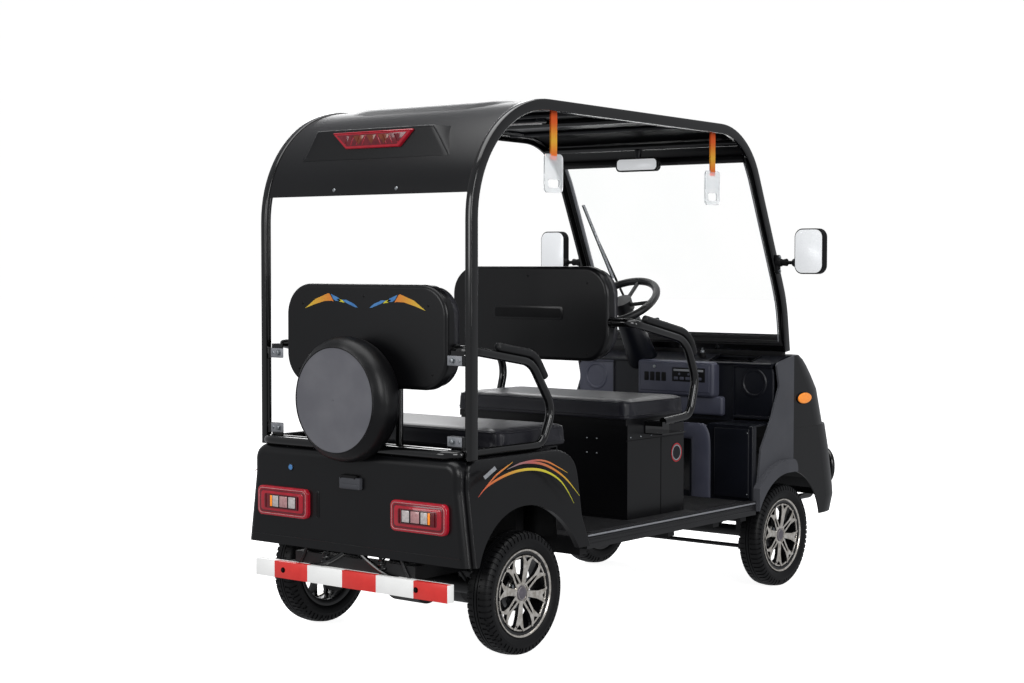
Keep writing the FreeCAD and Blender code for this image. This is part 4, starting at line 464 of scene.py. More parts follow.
def hex_bolt(bm, place, axis, across=13.0, height=5.0, index=0):
    """A hexagon head with its washer."""
    axis = Vector(axis).normalized()
    place = Vector(place)
    disc(bm, place, place + axis * 1.2, across * 0.85, index=index, sides=20)
    disc(bm, place + axis * 1.2, place + axis * height, across * 0.577, index=index, sides=6, bevel=0.6)


def pan_screw(bm, place, axis, across=9.0, index=0):
    """A low round head with a recess."""
    axis = Vector(axis).normalized()
    place = Vector(place)
    disc(bm, place, place + axis * 2.2, across / 2, across * 0.32, index=index, sides=16)
    disc(bm, place + axis * 2.2, place + axis * 2.4, across * 0.16, index=index, sides=6)


def screws(bm, places, axis, across, index):
    """Screws of one size that face the same way."""
    for place in places:
        pan_screw(bm, place, axis, across, index)


REARWARD, FORWARD = (0, 1, 0), (0, -1, 0)


def coat_node(node, finish):
    """Gives a CAD node its finish in its own material slots."""
    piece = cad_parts[node]
    for spot in piece.material_slots:
        spot.material = FINISH[finish]


def node_copy(node, keep=None):
    """A merged copy of a CAD node's mesh, or of the points that keep() chooses by their place in mm."""
    bm = bmesh.new()
    bm.from_mesh(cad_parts[node].data)
    bmesh.ops.remove_doubles(bm, verts=bm.verts, dist=1e-5)
    if keep:
        bmesh.ops.delete(bm, geom=[v for v in bm.verts if not keep(v.co / MM)], context="VERTS")
    return bm


def middle(node):
    """Centre of a node's box in mm."""
    low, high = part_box(node)
    return (Vector(low) + Vector(high)) / 2 / MM


def stripe(bm, points, widths, place, index, thickness=0.5):
    """A strip of film along points (u, v) in mm, tapered by its widths."""
    before = set(bm.verts)
    tube(bm, [(u, v, 0.0) for u, v in points], 1.0, index, sides=4, radii=[w / 2 for w in widths])
    for vert in set(bm.verts) - before:
        u, v, h = vert.co / MM
        across = max(widths) / 2
        vert.co = Vector(place(u, v, h / across * thickness)) * MM


# Wheels

TYRE_HALF = ((127.3, -35.7), (143.7, -35.7), (150, -40.5), (158, -43.4), (165, -45.2), (168, -45.6),
             (169, -46), (171, -46), (172, -45.7), (178, -45.8), (188, -44), (194, -41), (198.5, -36),
             (200.5, -29), (201.6, -20), (202.4, -12), (202.9, -8), (199.5, -7.4), (199.5, -4.6),
             (202.9, -4), (203, 0))
BARREL = ((143.4, 40), (143.4, 36.2), (128.5, 34.2), (127.2, 30), (127.2, -30), (128.5, -34.2),
          (143.4, -36.2), (143.4, -40), (138, -40), (124, -34), (121, -28), (121, 22), (123, 30), (130, 36),
          (137, 37), (139.5, 40), (143.4, 40))
SOLID_SPOKE = ((26, 10), (78, 13), (108, 21), (120, 31), (123, 22), (112, 10), (103, 0), (112, -10),
               (123, -22), (120, -31), (108, -21), (78, -13), (26, -10))
SPLIT_SPOKE = ((28, 15), (80, 12), (108, 20), (120, 31), (123, 22), (112, 9), (104, 2), (104, 0), (88, 0),
               (80, 3), (30, 6.5))


SPOKE_TURN, NUT_CIRCLE = 11, 47


def make_tyre(corner, steps, depth):
    centre = middle("tyre_" + corner)
    bm = bmesh.new()
    profile = TYRE_HALF + tuple((r, -t) for r, t in reversed(TYRE_HALF[:-1])) + TYRE_HALF[:1]
    lathe(bm, profile, centre, (1, 0, 0), steps=steps)
    bmesh.ops.remove_doubles(bm, verts=bm.verts, dist=MERGE)
    bmesh.ops.recalc_face_normals(bm, faces=bm.faces)
    slots = []
    for face in bm.faces:
        place = face.calc_center_median() / MM - centre
        column = math.floor(math.atan2(place.z, place.y) / math.tau * steps)
        if column % 3 == 0 and 12 < abs(place.x) < 46.2 and place.yz.length > 176:
            slots.append(face)
    bmesh.ops.inset_region(bm, faces=slots, thickness=0.6 * MM, depth=-depth * MM, use_even_offset=True)
    # Moulded band round each side wall
    for side in (-1, 1):
        lathe(bm, ((146, 38.5 * side), (147, 39.6 * side), (149, 40.6 * side), (149.5, 39.2 * side)), centre,
              (1, 0, 0), steps=96)
    return finish_piece(f"tyre_tread_{corner}", bm, ["tyre"], ["tyre_" + corner],
                        body="wheel_" + corner, angle=38)


def make_rim(corner):
    centre = middle("rim_" + corner)
    axis = Vector((math.copysign(1.0, centre.x), 0, 0))
    bm = bmesh.new()
    lathe(bm, BARREL, centre, axis, 1, steps=96)
    for face in bm.faces:
        place = face.calc_center_median() / MM - centre
        if place.dot(axis) > 36.8 and place.yz.length > 138:
            face.material_index = 0
    # Machined ring that joins the spoke ends
    ring = ((118.5, 31), (123.5, 31), (123.5, 35.2), (121.5, 36), (119.6, 35.6), (118.5, 34.6), (118.5, 31))
    lathe(bm, ring, centre, axis, 0, steps=96)
    for number in range(8):
        turn = math.radians(45 * number + SPOKE_TURN)
        radial = Vector((0, math.cos(turn), math.sin(turn)))
        across = axis.cross(radial)
        for half in ((1, -1) if number % 2 else (0,)):
            outline = SPLIT_SPOKE if half else SOLID_SPOKE
            sign = half or 1

            def place(u, v, h):
                return centre + axis * (16 + 0.07 * u + h) + radial * u + across * v * sign

            faces = plate(bm, outline, place, 13.5, 1, bevel=0.9)
            for face in faces:
                if face.is_valid:
                    face.normal_update()
                    out = (face.calc_center_median() / MM - centre).dot(axis)
                    if abs(face.normal.dot(axis)) > 0.5 and out > 27:
                        face.material_index = 0
    # Hub with its bore wall and the blank cap, then four nuts between the spokes
    lathes(bm, centre, axis, (
        (1, 64, ((0, -14), (58, -14), (60, -10), (60, 8), (56, 12), (34, 14), (0, 14))),
        (0, 64, ((0, 14), (37, 14), (37, 28), (34, 31.5), (29, 32), (28, 29), (25, 28.5), (0, 28.5))),
        (2, 48, ((0, 28.5), (24.2, 28.5), (24.2, 31), (22.5, 32.4), (12, 33.2), (0, 33.4))),
        (0, 48, ((19.4, 31.8), (19.8, 33.2), (20.6, 33.1), (21, 31.8)))))
    for number in range(4):
        turn = math.radians(90 * number + SPOKE_TURN + 22.5)
        spot = centre + Vector((0, math.cos(turn), math.sin(turn))) * NUT_CIRCLE
        stack(bm, spot, axis, ((10, 16, 12.5, None, 0, 24, 1.0), (16, 27, 9.6, 8.6, 3, 6, 0.8)))
    # Valve stem
    spot = centre + Vector((0, 0.35, -0.93)) * 112
    disc(bm, spot + axis * 20, spot + axis * 40, 3.2, 2.6, index=1, sides=12)
    return finish_piece(f"alloy_wheel_{corner}", bm, ["alloy", "pocket", "cap_grey", "zinc"],
                        ["rim_" + corner], body="wheel_" + corner, angle=34)


# Suspension

SPRING_TOP, SPRING_TURNS, SPRING_RADIUS, SPRING_WIRE = 519.7, 6.5, 29.6, 4.4


def make_springs():
    up = Vector((0, 0, 1))
    for name, x, y, low in (("front", 312.0, -696.5, 249.8), ("rear", 306.0, 953.5, 236.3)):
        for side in (-1, 1):
            bm = bmesh.new()
            place, high = Vector((x * side, y, 0)), SPRING_TOP
            # Eye, lower seat, damper body, gland, rod, bump stop, upper seat and eye
            stack(bm, place, up, (
                (low, low + 14, 15, None, 1, 32, 2), (low + 9, low + 16, 33.5, 31, 1, 48, 1.2),
                (low + 14, low + 150, 22, 21, 1, 32, 1.5), (low + 150, low + 158, 17, 12, 2, 32),
                (low + 158, high - 16, 8, None, 2, 24), (high - 60, high - 20, 17, 20, 3, 32, 2),
                (high - 17, high - 9, 31, 33.5, 1, 48, 1.2), (high - 10, high, 15, None, 1, 32, 1)))
            start, stop = low + 20, high - 21
            points = []
            for step in range(int(SPRING_TURNS * 10) + 1):
                angle = math.tau * step / 10
                round_x, round_y = SPRING_RADIUS * math.cos(angle), SPRING_RADIUS * math.sin(angle)
                rise = start + (stop - start) * step / (SPRING_TURNS * 10)
                points.append(place + Vector((round_x, round_y, rise)))
            tube(bm, points, SPRING_WIRE, 0, sides=12)
            finish_piece(f"coil_over_{name}_{SIDE_NAME[side]}", bm,
                         ["spring", "chassis", "zinc", "mat"], ["shocks"])


# Upholstery

CUSHIONS = (
    # name, node, resting side as (axis, sign), cap in mm
    ("front_seat_cushion", "front_cushion", (2, -1), 7.0),
    ("rear_seat_cushion", "rear_cushion", (2, -1), 7.0),
    ("front_seat_back", "front_backrest_pad", (1, 1), 9.0),
    ("rear_seat_back", "rear_backrest_pad", (1, 1), 9.0),
)
CUSHION_SHRINK, CUSHION_VOXEL = 5.0, 6.0
CLOTH_FRAMES = 20
HELD_BAND = 0.009
PRESSURE = 4.0
SEAM_RADIUS, CORNER_SEAM_RADIUS = 2.0, 1.2


def evened(pad, voxel, soften_by, rounds, smooth=False):
    """Remeshes a blank at a voxel size in mm and softens it."""
    remesh = pad.modifiers.new("even_mesh", "REMESH")
    remesh.mode = "VOXEL"
    remesh.voxel_size = voxel * MM
    remesh.use_smooth_shade = smooth
    soften = pad.modifiers.new("soften", "SMOOTH")
    soften.factor = soften_by
    soften.iterations = rounds
    pad.data = bpy.data.meshes.new_from_object(pad.evaluated_get(bpy.context.evaluated_depsgraph_get()))
    pad.modifiers.clear()
    return pad


def pad_blank(name, node, rest):
    """A shrunk, remeshed copy of a cushion's solid whose resting side stays where it is."""
    bm = node_copy(node)
    low, high = (Vector(corner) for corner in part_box(node))
    size, anchor = high - low, (low + high) / 2
    axis, sign = rest
    anchor[axis] = high[axis] if sign > 0 else low[axis]
    factor = Vector([(s - 2 * CUSHION_SHRINK * MM) / s for s in size])
    factor[axis] = (size[axis] - CUSHION_SHRINK * MM) / size[axis]
    bmesh.ops.scale(bm, vec=factor, space=Matrix.Translation(-anchor), verts=bm.verts)
    return evened(mesh_object(name, bm), CUSHION_VOXEL, 0.5, 2, True)


def dress_pad(pad, finish, node):
    """Gives a blank its finish and smooth shading, rides it on the cart and hides the CAD node it replaces.
    """
    pad.data.materials.clear()
    pad.data.materials.append(FINISH[finish])
    for face in pad.data.polygons:
        face.use_smooth = True
    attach(pad, "cart")
    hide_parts(node)


def blow_up(pads):
    """Inflates all the blanks in one cloth simulation, then caps how far each point may move."""
    scene = bpy.context.scene
    for pad, (axis, sign), _ in pads:
        values = [v.co[axis] for v in pad.data.vertices]
        edge = max(values) if sign > 0 else min(values)
        held = pad.vertex_groups.new(name="held")
        held.add([v.index for v in pad.data.vertices if abs(v.co[axis] - edge) < HELD_BAND], 1.0, "REPLACE")
        cloth = pad.modifiers.new("cloth", "CLOTH")
        cloth.settings.quality = 3
        cloth.settings.use_pressure = True
        cloth.settings.uniform_pressure_force = PRESSURE
        cloth.settings.effector_weights.gravity = 0.0
        cloth.settings.vertex_group_mass = "held"
        cloth.point_cache.frame_start = 1
        cloth.point_cache.frame_end = CLOTH_FRAMES
    for step in range(1, CLOTH_FRAMES + 1):
        scene.frame_set(step)
    graph = bpy.context.evaluated_depsgraph_get()
    for pad, _, cap in pads:
        moved = [v.co.copy() for v in pad.evaluated_get(graph).data.vertices]
        for vert, place in zip(pad.data.vertices, moved):
            shift = place - vert.co
            reach = shift.length
            if reach > 1e-7:
                vert.co += shift * (cap * MM / (cap * MM + reach))
        pad.modifiers.clear()
        pad.vertex_groups.clear()
    scene.frame_set(1)


def snapped(tree, points, proud):
    """Points moved onto the surface of a padded piece, a little proud of it."""
    made = []
    for point in points:
        place, normal, _, _ = tree.find_nearest(Vector(point) * MM)
        made.append(place / MM + normal * proud)
    return made


def loop_points(width, depth, radius, centre, place, count=9, gap=24):
    """Points round a rounded rectangle at even steps, turned into the row frame."""
    corners = rounded(width, depth, radius, count, centre)
    points = []
    for (u0, v0), (u1, v1) in zip(corners, corners[1:] + corners[:1]):
        length = math.hypot(u1 - u0, v1 - v0)
        parts = max(1, round(length / gap))
        points += [place(u0 + (u1 - u0) * k / parts, v0 + (v1 - v0) * k / parts) for k in range(parts)]
    return points


def make_upholstery():
    pads = [(pad_blank(name, node, rest), rest, cap) for name, node, rest, cap in CUSHIONS]
    blow_up(pads)
    for (pad, rest, _), (name, node, _, _) in zip(pads, CUSHIONS):
        dress_pad(pad, "vinyl", node)
        tree = BVHTree.FromObject(pad, bpy.context.evaluated_depsgraph_get())
        subdivide = pad.modifiers.new("subdivision", "SUBSURF")
        subdivide.levels = subdivide.render_levels = 1
        low, high = (Vector(corner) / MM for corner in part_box(node))
        size, mid = high - low, (low + high) / 2
        bm = bmesh.new()
        # A seat's piping runs round its top and bottom and down its corners, a back's round both its faces
        if rest[0] == 2:
            depth, middle_depth, radius = size.y, mid.y, 36
            rounds = [(height, inset_by, lambda u, v, height=height: (u, v, height))
                      for height, inset_by in ((high.z - 5, 4), (low.z + 14, 2))]
        else:
            depth, middle_depth, radius = size.z, mid.z, 84
            rounds = [(near, inset_by, lambda u, v, near=near: (u, near, v))
                      for near, inset_by in ((low.y + 8, 4), (high.y - 3, 0))]
        for _, inset_by, place in rounds:
            ring = loop_points(size.x - 2 * inset_by, depth - 2 * inset_by, radius, (mid.x, middle_depth),
                               place)
            tube(bm, snapped(tree, ring, 0.4), SEAM_RADIUS, 0, sides=8, cyclic=True)
        if rest[0] == 2:
            for sx in (-1, 1):
                for sy in (-1, 1):
                    x, y = mid.x + sx * (size.x / 2 - 42), mid.y + sy * size.y / 2
                    line = [(x, y, low.z + 14 + (size.z - 19) * k / 5) for k in range(6)]
                    tube(bm, snapped(tree, line, 0.2), CORNER_SEAM_RADIUS, 0, sides=6)
        finish_piece(name + "_piping", bm, ["vinyl"])


def make_arm_pads():
    pad = evened(mesh_object("arm_pad_covers", node_copy("arm_pads")), 3.0, 0.6, 28)
    dress_pad(pad, "foam", "arm_pads")


# Centre lines of the arm tubes: (distance ahead, height) after the first point at the seat back
FRONT_ARM = ((645.5, 1067), (985, 997), (1052, 850), (1012, 716), (838, 706))
REAR_ARM = ((-207, 1000), (95, 952), (212, 790), (150, 673), (-296, 673))
ARM_RADIUS = 12.5


def bent(points, bends, steps=12):
    """Points in mm with a round bend of its own radius at each inner corner."""
    points = [Vector(point) for point in points]
    path = [points[0]]
    for before, corner, after, bend in zip(points, points[1:], points[2:], bends):
        back, on = (before - corner).normalized(), (after - corner).normalized()
        reach = min(bend / math.tan(back.angle(on) / 2),
                    (before - corner).length * 0.49, (after - corner).length * 0.49)
        start, end = corner + back * reach, corner + on * reach
        for step in range(steps + 1):
            share = step / steps
            path.append(start.lerp(corner, share).lerp(corner.lerp(end, share), share))
    return path + [points[-1]]


def make_arm_tubes(sleeve):
    """The bent arm tubes in their thick gloss coat, swept round the CAD tubes."""
    bm = node_copy("front_arms")
    for side in (-1, 1):
        line = [(side * 362.5, ahead(FRONT_ARM[0][0]), FRONT_ARM[0][1])]
        line += [(side * 455, ahead(distance), z) for distance, z in FRONT_ARM]
        tube(bm, bent(line, (60, 130, 110, 60)), ARM_RADIUS + sleeve, 0, sides=20, smooth=False)
    finish_piece("front_arm_tubes", bm, ["tube"], ["front_arms"], angle=40)
    bm = node_copy("rear_arm_frame")
    line = [(362.5, ahead(REAR_ARM[0][0]), REAR_ARM[0][1])]
    line += [(432, ahead(distance), z) for distance, z in REAR_ARM]
    line += [(-x, y, z) for x, y, z in reversed(line)]
    bends = (48, 110, 90, 60, 60, 60, 60, 90, 110, 48)
    tube(bm, bent(line, bends), ARM_RADIUS + sleeve * 0.9, 0, sides=20, smooth=False)
    finish_piece("rear_arm_tubes", bm, ["tube"], ["rear_arm_frame"], angle=40)


FRAME_OUTER, FRAME_INNER = 473.0, 446.0


def make_roof_frame():
    """The side frames with the drawn tube's round corners."""
    bm = node_copy("roof_frame")

    def along(edge):
        reach = [abs(vert.co.x / MM) for vert in edge.verts]
        return any(max(abs(r - level) for r in reach) < 0.05 for level in (FRAME_OUTER, FRAME_INNER))

    edges = [edge for edge in bm.edges
             if len(edge.link_faces) == 2 and along(edge) and edge.calc_face_angle(0) > math.radians(60)]
    round_off(bm, edges, 5.0, 3)
    finish_piece("roof_frame_tubes", bm, ["tube"], ["roof_frame"], angle=40)


# Spare wheel and its cover

SPARE_CENTRE = (0, 1216.5, 832)
COVER_MERGE = 8e-4
COVER_PROFILE = ((140, 3), (150, 2), (165, 4.5), (180, 10), (192, 20), (200, 33), (205, 48), (207, 66),
                 (205, 84), (200, 99), (193, 109), (185, 116), (178, 121), (173.5, 125.4), (171, 127.6),
                 (168, 127.4), (160, 127), (140, 127.6), (110, 128.4), (70, 129), (30, 129.2), (0.5, 129.2))

SPARE_PROFILE = ((0, 40), (40, 40), (46, 36), (52, 24), (96, 26), (104, 34), (118, 36), (124, 12),
                 (130, 10), (140, 6), (156, 8), (176, 20), (190, 40), (196, 66), (188, 100), (160, 118),
                 (120, 118), (0, 112))


def make_spare_cover():
    centre = Vector(SPARE_CENTRE)
    bm = bmesh.new()
    lathe(bm, COVER_PROFILE, centre, REARWARD, 0, steps=112)
    bmesh.ops.remove_doubles(bm, verts=bm.verts, dist=COVER_MERGE)
    bmesh.ops.recalc_face_normals(bm, faces=bm.faces)
    for vert in bm.verts:
        place = vert.co / MM - centre
        radius = math.hypot(place.x, place.z)
        pull = max(0.0, min(1.0, (radius - 60) / 100))
        ripple = noise.noise(vert.co * 16) * 1.6 + noise.noise(vert.co * 45) * 0.5 * pull
        vert.co += vert.normal * ripple * MM
    # The flat rear face takes the light grey copy of the vinyl: a painted lit face
    for face in bm.faces:
        place = face.calc_center_median() / MM - centre
        if place.y > 122 and math.hypot(place.x, place.z) < 172:
            face.material_index = 1
    piece = finish_piece("spare_wheel_cover", bm, ["cover", "cover_painted_lit_face"], ["spare_cover"],
                         angle=50)
    wall = piece.modifiers.new("cloth_thickness", "SOLIDIFY")
    wall.thickness = 1.2 * MM
    wall.offset = -1.0
    smooth = piece.modifiers.new("subdivision", "SUBSURF")
    smooth.levels = smooth.render_levels = 1

    bm = bmesh.new()
    for radius, depth, thick in ((172.6, 127.0, 2.2), (141, 3.2, 2.4)):
        ring = [(radius * c, centre.y + depth, centre.z + radius * s) for c, s in round_turn(48)]
        tube(bm, ring, thick, 0, sides=8, cyclic=True)
    finish_piece("spare_wheel_cover_piping", bm, ["cover"])

    bm = bmesh.new()
    lathe(bm, SPARE_PROFILE, centre, REARWARD, 0, steps=72)
    for face in bm.faces:
        place = face.calc_center_median() / MM - centre
        if math.hypot(place.x, place.z) < 126:
            face.material_index = 1
    for k in range(4):
        turn = math.radians(45 + 90 * k)
        spot = centre + Vector((36 * math.cos(turn), 40, 36 * math.sin(turn)))
        hex_bolt(bm, spot, FORWARD, 17, 10, 2)
    finish_piece("spare_wheel", bm, ["tyre", "pocket", "zinc"], angle=40)


# Lamps

TAIL_FACE, TAIL_CENTRE = 1264.8, (306, 470)
TAIL_LAYERS = (
    # width, height, corner, start, end and look of each layer of the lens
    (238, 100, 20, 0.0, 15.0, 0, 3.6, 3), (214, 78, 13, 14.4, 15.4, 1, 0.4),
    (200, 66, 11, 14.8, 17.2, 0, 2.0), (166, 50, 8, 16.8, 17.6, 1, 0.3),
)


def make_tail_lamps():
    for side in (-1, 1):
        bm = bmesh.new()
        for width, height, radius, low, high, *look in TAIL_LAYERS:
            plate(bm, rounded(width, height, radius, 6, TAIL_CENTRE),
                  lambda u, v, h: (side * u, TAIL_FACE + h + low, v), high - low, *look)
        # Thin pale pink ring inside the lens rim: a painted highlight along the rim's edge
        ring = [(side * u, TAIL_FACE + 15.6, v) for u, v in rounded(222, 85, 15, 6, TAIL_CENTRE)]
        tube(bm, ring, 1.1, 3, sides=6, cyclic=True, smooth=False)

        def strip(share0, share1, z0, z1, y0, y1, index, bevel):
            side_block(bm, side, (187 + 238 * share0, y0, z0), (187 + 238 * share1, y1, z1), index, bevel)

        strip(0.215, 0.735, 449, 492, 1281, 1282.9, 4, 0.8)
        for share0, share1, index in ((0.228, 0.36, 2), (0.385, 0.54, 3), (0.565, 0.68, 2), (0.69, 0.728, 5)):
            strip(share0, share1, 452, 489.5, 1282, 1284.0, index, 1.2)
            for rib in range(1, 5):
                share = share0 + (share1 - share0) * rib / 5
                strip(share - 0.002, share + 0.002, 453, 488.5, 1283.5, 1284.4, index, 0.2)
        for share in (0.165, 0.8):
            strip(share, share + 0.028, 446, 494, 1281, 1282.4, 0, 0.9)
        finish_piece(f"tail_lamp_{SIDE_NAME[side]}", bm,
                     ["red_lens", "dark_red", "clear_cell", "pink_cell_and_painted_highlight", "dark", "amber"], ["rear_lamps"])

    bm = bmesh.new()
    block(bm, (-35, TAIL_FACE, 562), (35, 1279.6, 584), 0, 3.5, 3)
    block(bm, (-27, 1268, 560), (27, 1278.5, 566), 1, 1.5)
    screws(bm, [(x, 1279.4, 573) for x in (-31, 31)], REARWARD, 5, 0)
    finish_piece("plate_lamp", bm, ["dark", "clear_cell"], ["rear_lamps"])


MARKER_CENTRE = (-844.5, 739)


def make_front_lamps():
    for side in (-1, 1):
        bm = bmesh.new()
        lathes(bm, (315 * side, -1070.5, 700), FORWARD, (
            (0, 72, ((74.7, 2), (74.7, 46), (73, 49), (69, 49.6), (66, 46), (66, 6), (60, 2), (74.7, 2))),
            (1, 72, ((65.6, 42), (60, 26), (48, 13), (30, 6), (12, 3.4), (0, 3))),
            (2, 32, ((0, 4), (9, 4), (9, 22), (6, 28), (0, 30))),
            *((3, 64, ((ring, 43), (ring + 0.6, 43.8), (ring + 1.2, 43))) for ring in (18, 34, 50)),
            (3, 72, ((0, 48.6), (30, 47.8), (52, 45.8), (65.8, 43), (65.8, 41), (52, 43.8), (30, 45.8),
                     (0, 46.6)))))
        finish_piece(f"headlamp_{SIDE_NAME[side]}", bm,
                     ["dark", "chrome", "clear_cell", "lens"], ["front_lamps"])

        bm = bmesh.new()
        y, z = MARKER_CENTRE
        for wide, tall, *look in ((55, 24.5, 4.0, 1, 1.2), (51, 21.5, 9.8, 0, 4.5, 4)):
            oval = [(y + wide * c, z + tall * s) for c, s in round_turn(40)]
            plate(bm, oval, lambda u, v, h: (side * (486.3 + h), u, v), *look)
        for row in range(-2, 3):
            height = z + row * 6.2
            half = 50 * math.sqrt(1 - (row * 6.2 / 21.5) ** 2) - 6
            side_block(bm, side, (490, y - half, height - 0.6), (496.4, y + half, height + 0.6), 0, 0.3, 1)
        finish_piece(f"side_marker_{SIDE_NAME[side]}", bm, ["amber", "dark"], ["front_lamps"])


# Rear bumper bar

BAR_FIELDS = (432.4, 342, 185, 25, -127, -289, -431.6)


def make_bumper():
    bm = bmesh.new()
    # The white and red fields carry the painted glow of their finishes, as does the bar under them
    for number, (x1, x0) in enumerate(zip(BAR_FIELDS, BAR_FIELDS[1:])):
        block(bm, (x0 + 0.2, 1262, 210.9), (x1 - 0.2, 1282.1, 268.1), number % 2, 1.0, 2)
    block(bm, (-433.4, 1251.8, 211.2), (-431.4, 1281.8, 267.8), 0, 0.6)
    for x in (-300, 300):
        hex_bolt(bm, (x, 1282, 239.5), REARWARD, 11, 5.5, 2)
        lathe(bm, ((5, 0), (8.5, 0), (8.5, 1.2), (5, 1.2)), (x, 1282, 239.5), REARWARD, 2, steps=24)
    finish_piece("bumper_reflective_fields", bm, ["white_sheet", "red_sheet", "dark"])


# Coloured film on the fenders and the rear seat back

LOWER_ARC = ((-268, 546), (-243, 569), (-188, 590), (-127, 605), (-64, 613), (0, 612), (64, 602), (130, 577),
             (186, 538), (232, 476))
UPPER_REAR_ARC = ((-268, 546), (-198, 600), (-147, 622), (-96, 642))
INNER_ARC = ((-127, 620), (-64, 636), (0, 634), (64, 623), (136, 594), (203, 554), (263, 498))
OUTER_ARC = ((-64, 636), (0, 640), (64, 635), (119, 617), (195, 582))


def make_fender_stripes():
    for side in (-1, 1):
        bm = bmesh.new()

        def place(u, v, h):
            return (side * (508.1 + h), ahead(u), v)

        stripe(bm, LOWER_ARC, [1, 5, 8, 9, 9, 8.5, 8, 6, 4, 1], place, 0)
        stripe(bm, UPPER_REAR_ARC, [1, 6, 7, 1.5], place, 0)
        stripe(bm, INNER_ARC, [1, 6, 8, 8, 7, 5, 1], place, 1)
        stripe(bm, OUTER_ARC, [1, 5, 6, 5, 1], place, 1)
        plate(bm, ((-234, 599), (-244, 609), (-188, 637), (-178, 626)), place, 0.4, 2)
        finish_piece(f"fender_film_{SIDE_NAME[side]}", bm,
                     ["film_warm", "film_cool", "film_silver"])


WEDGE = (((-134, 0.0), (-84, 32), (-24, 52), (-18, 50), (1, 25), (-9, 27), (-40, 26), (-92, 13)),
         ((-12, 50), (-2, 34), (10, 27), (36, 26), (22, 38), (4, 44)),
         ((14, 33), (30, 24), (52, 21), (42, 29), (26, 34)),
         ((38, 31), (60, 20), (100, 7), (112, 6), (92, 19), (58, 31)))


def make_seat_back_film():
    bm = bmesh.new()
    for side in (-1, 1):
        def place(u, v, h):
            return (side * (138 - u), 1201.6 + h, 1124 + v)

        for index, outline in zip((0, 1, 2, 1), WEDGE):
            plate(bm, outline, place, 0.4, index)
    finish_piece("rear_seat_back_film", bm, ["film_wedge", "film_blue", "film_yellow"])


# Mirrors and grab straps

def make_mirror_glass():
    for name, x, z, y, size, corner in (("left", 622, 1325, -633.8, (117, 167), 30),
                                        ("right", -622, 1325, -633.8, (117, 167), 30),
                                        ("inner", 0, 1667, -365.5, (188, 43), 15)):
        bm = bmesh.new()
        upright(bm, rounded(*size, corner, 7, (x, z)), y, 0.9, 0, 0.4)
        finish_piece(f"mirror_glass_{name}", bm, ["mirror"])


STRAP_X = -440
STRAP_LOOP = ((-1.9, 1), (-2.2, 60), (-2.0, 120), (-1.9, 170), (-1.2, 181), (0, 183.5), (1.2, 181),
              (1.9, 170), (2.4, 120), (2.6, 60), (1.9, 1))


def make_straps():
    for name, y, top in (("rear", ahead(203), 1804.4), ("front", ahead(1182), 1789.0)):
        bm = bmesh.new()
        path = [(x, top - drop) for x, drop in STRAP_LOOP]
        row = [bm.verts.new(Vector((STRAP_X + path[0][0], y + across, path[0][1])) * MM)
               for across in (-16.5, -8, 0, 8, 16.5)]
        edges = [bm.edges.new(pair) for pair in zip(row, row[1:])]
        for (x0, z0), (x1, z1) in zip(path, path[1:]):
            made = bmesh.ops.extrude_edge_only(bm, edges=edges)["geom"]
            verts = [g for g in made if isinstance(g, bmesh.types.BMVert)]
            edges = [g for g in made if isinstance(g, bmesh.types.BMEdge)]
            bmesh.ops.translate(bm, vec=Vector((x1 - x0, 0, z1 - z0)) * MM, verts=verts)
        strap = finish_piece(f"grab_strap_{name}", bm, [f"webbing_{name}"],
                             ["strap_handles"])
        wall = strap.modifiers.new("webbing_thickness", "SOLIDIFY")
        wall.thickness = 1.3 * MM
        wall.offset = 0.0

        bm = node_copy("strap_handles", lambda p: abs(p.x - STRAP_X) > 2 and abs(p.y - y) < 60)
        bmesh.ops.holes_fill(bm, edges=[e for e in bm.edges if e.is_boundary], sides=0)
        finish_piece(f"grab_handle_{name}", bm, ["clear"], ["strap_handles"], bevel=0.8)


# Trim on the roof

def surface(node):
    """Ray-casting tree of a CAD node."""
    bm = node_copy(node)
    tree = BVHTree.FromBMesh(bm)
    bm.free()
    return tree


def cast(tree, origin, direction):
    """Where a ray from a place in mm meets a tree, in mm."""
    place, normal, _, _ = tree.ray_cast(Vector(origin) * MM, Vector(direction))
    if place is None:
        raise ValueError(f"no surface from {tuple(origin)}")
    return place / MM, normal


CROWN_HALF_WIDTH, CROWN_LENGTH, CROWN_CORNER, CROWN_SLOPE = 352.0, 1300.0, 110.0, 62.0


def make_roof_crown(rise):
    """The raised field of the roof, a grid laid on the panel and lifted inside its edge."""
    tree = surface("roof_panel")
    bm = bmesh.new()
    bmesh.ops.create_grid(bm, x_segments=36, y_segments=72, size=1.0)
    for vert in bm.verts:
        x, y = vert.co.x * CROWN_HALF_WIDTH, ahead(CROWN_LENGTH / 2 * (1 - vert.co.y))
        in_x = CROWN_HALF_WIDTH - abs(x)
        in_y = CROWN_LENGTH / 2 * (1 - abs(vert.co.y))
        if in_x < CROWN_CORNER and in_y < CROWN_CORNER:
            reach = CROWN_CORNER - math.hypot(CROWN_CORNER - in_x, CROWN_CORNER - in_y)
        else:
            reach = min(in_x, in_y)
        share = max(0.0, min(1.0, reach / CROWN_SLOPE))
        lift = rise * share * share * (3 - 2 * share) + (0.3 if reach >= 0 else -1.5)
        place, _ = cast(tree, (x, y, 2200), (0, 0, -1))
        vert.co = Vector((x, y, place.z + lift)) * MM
    finish_piece("roof_crown", bm, ["body"], angle=50)


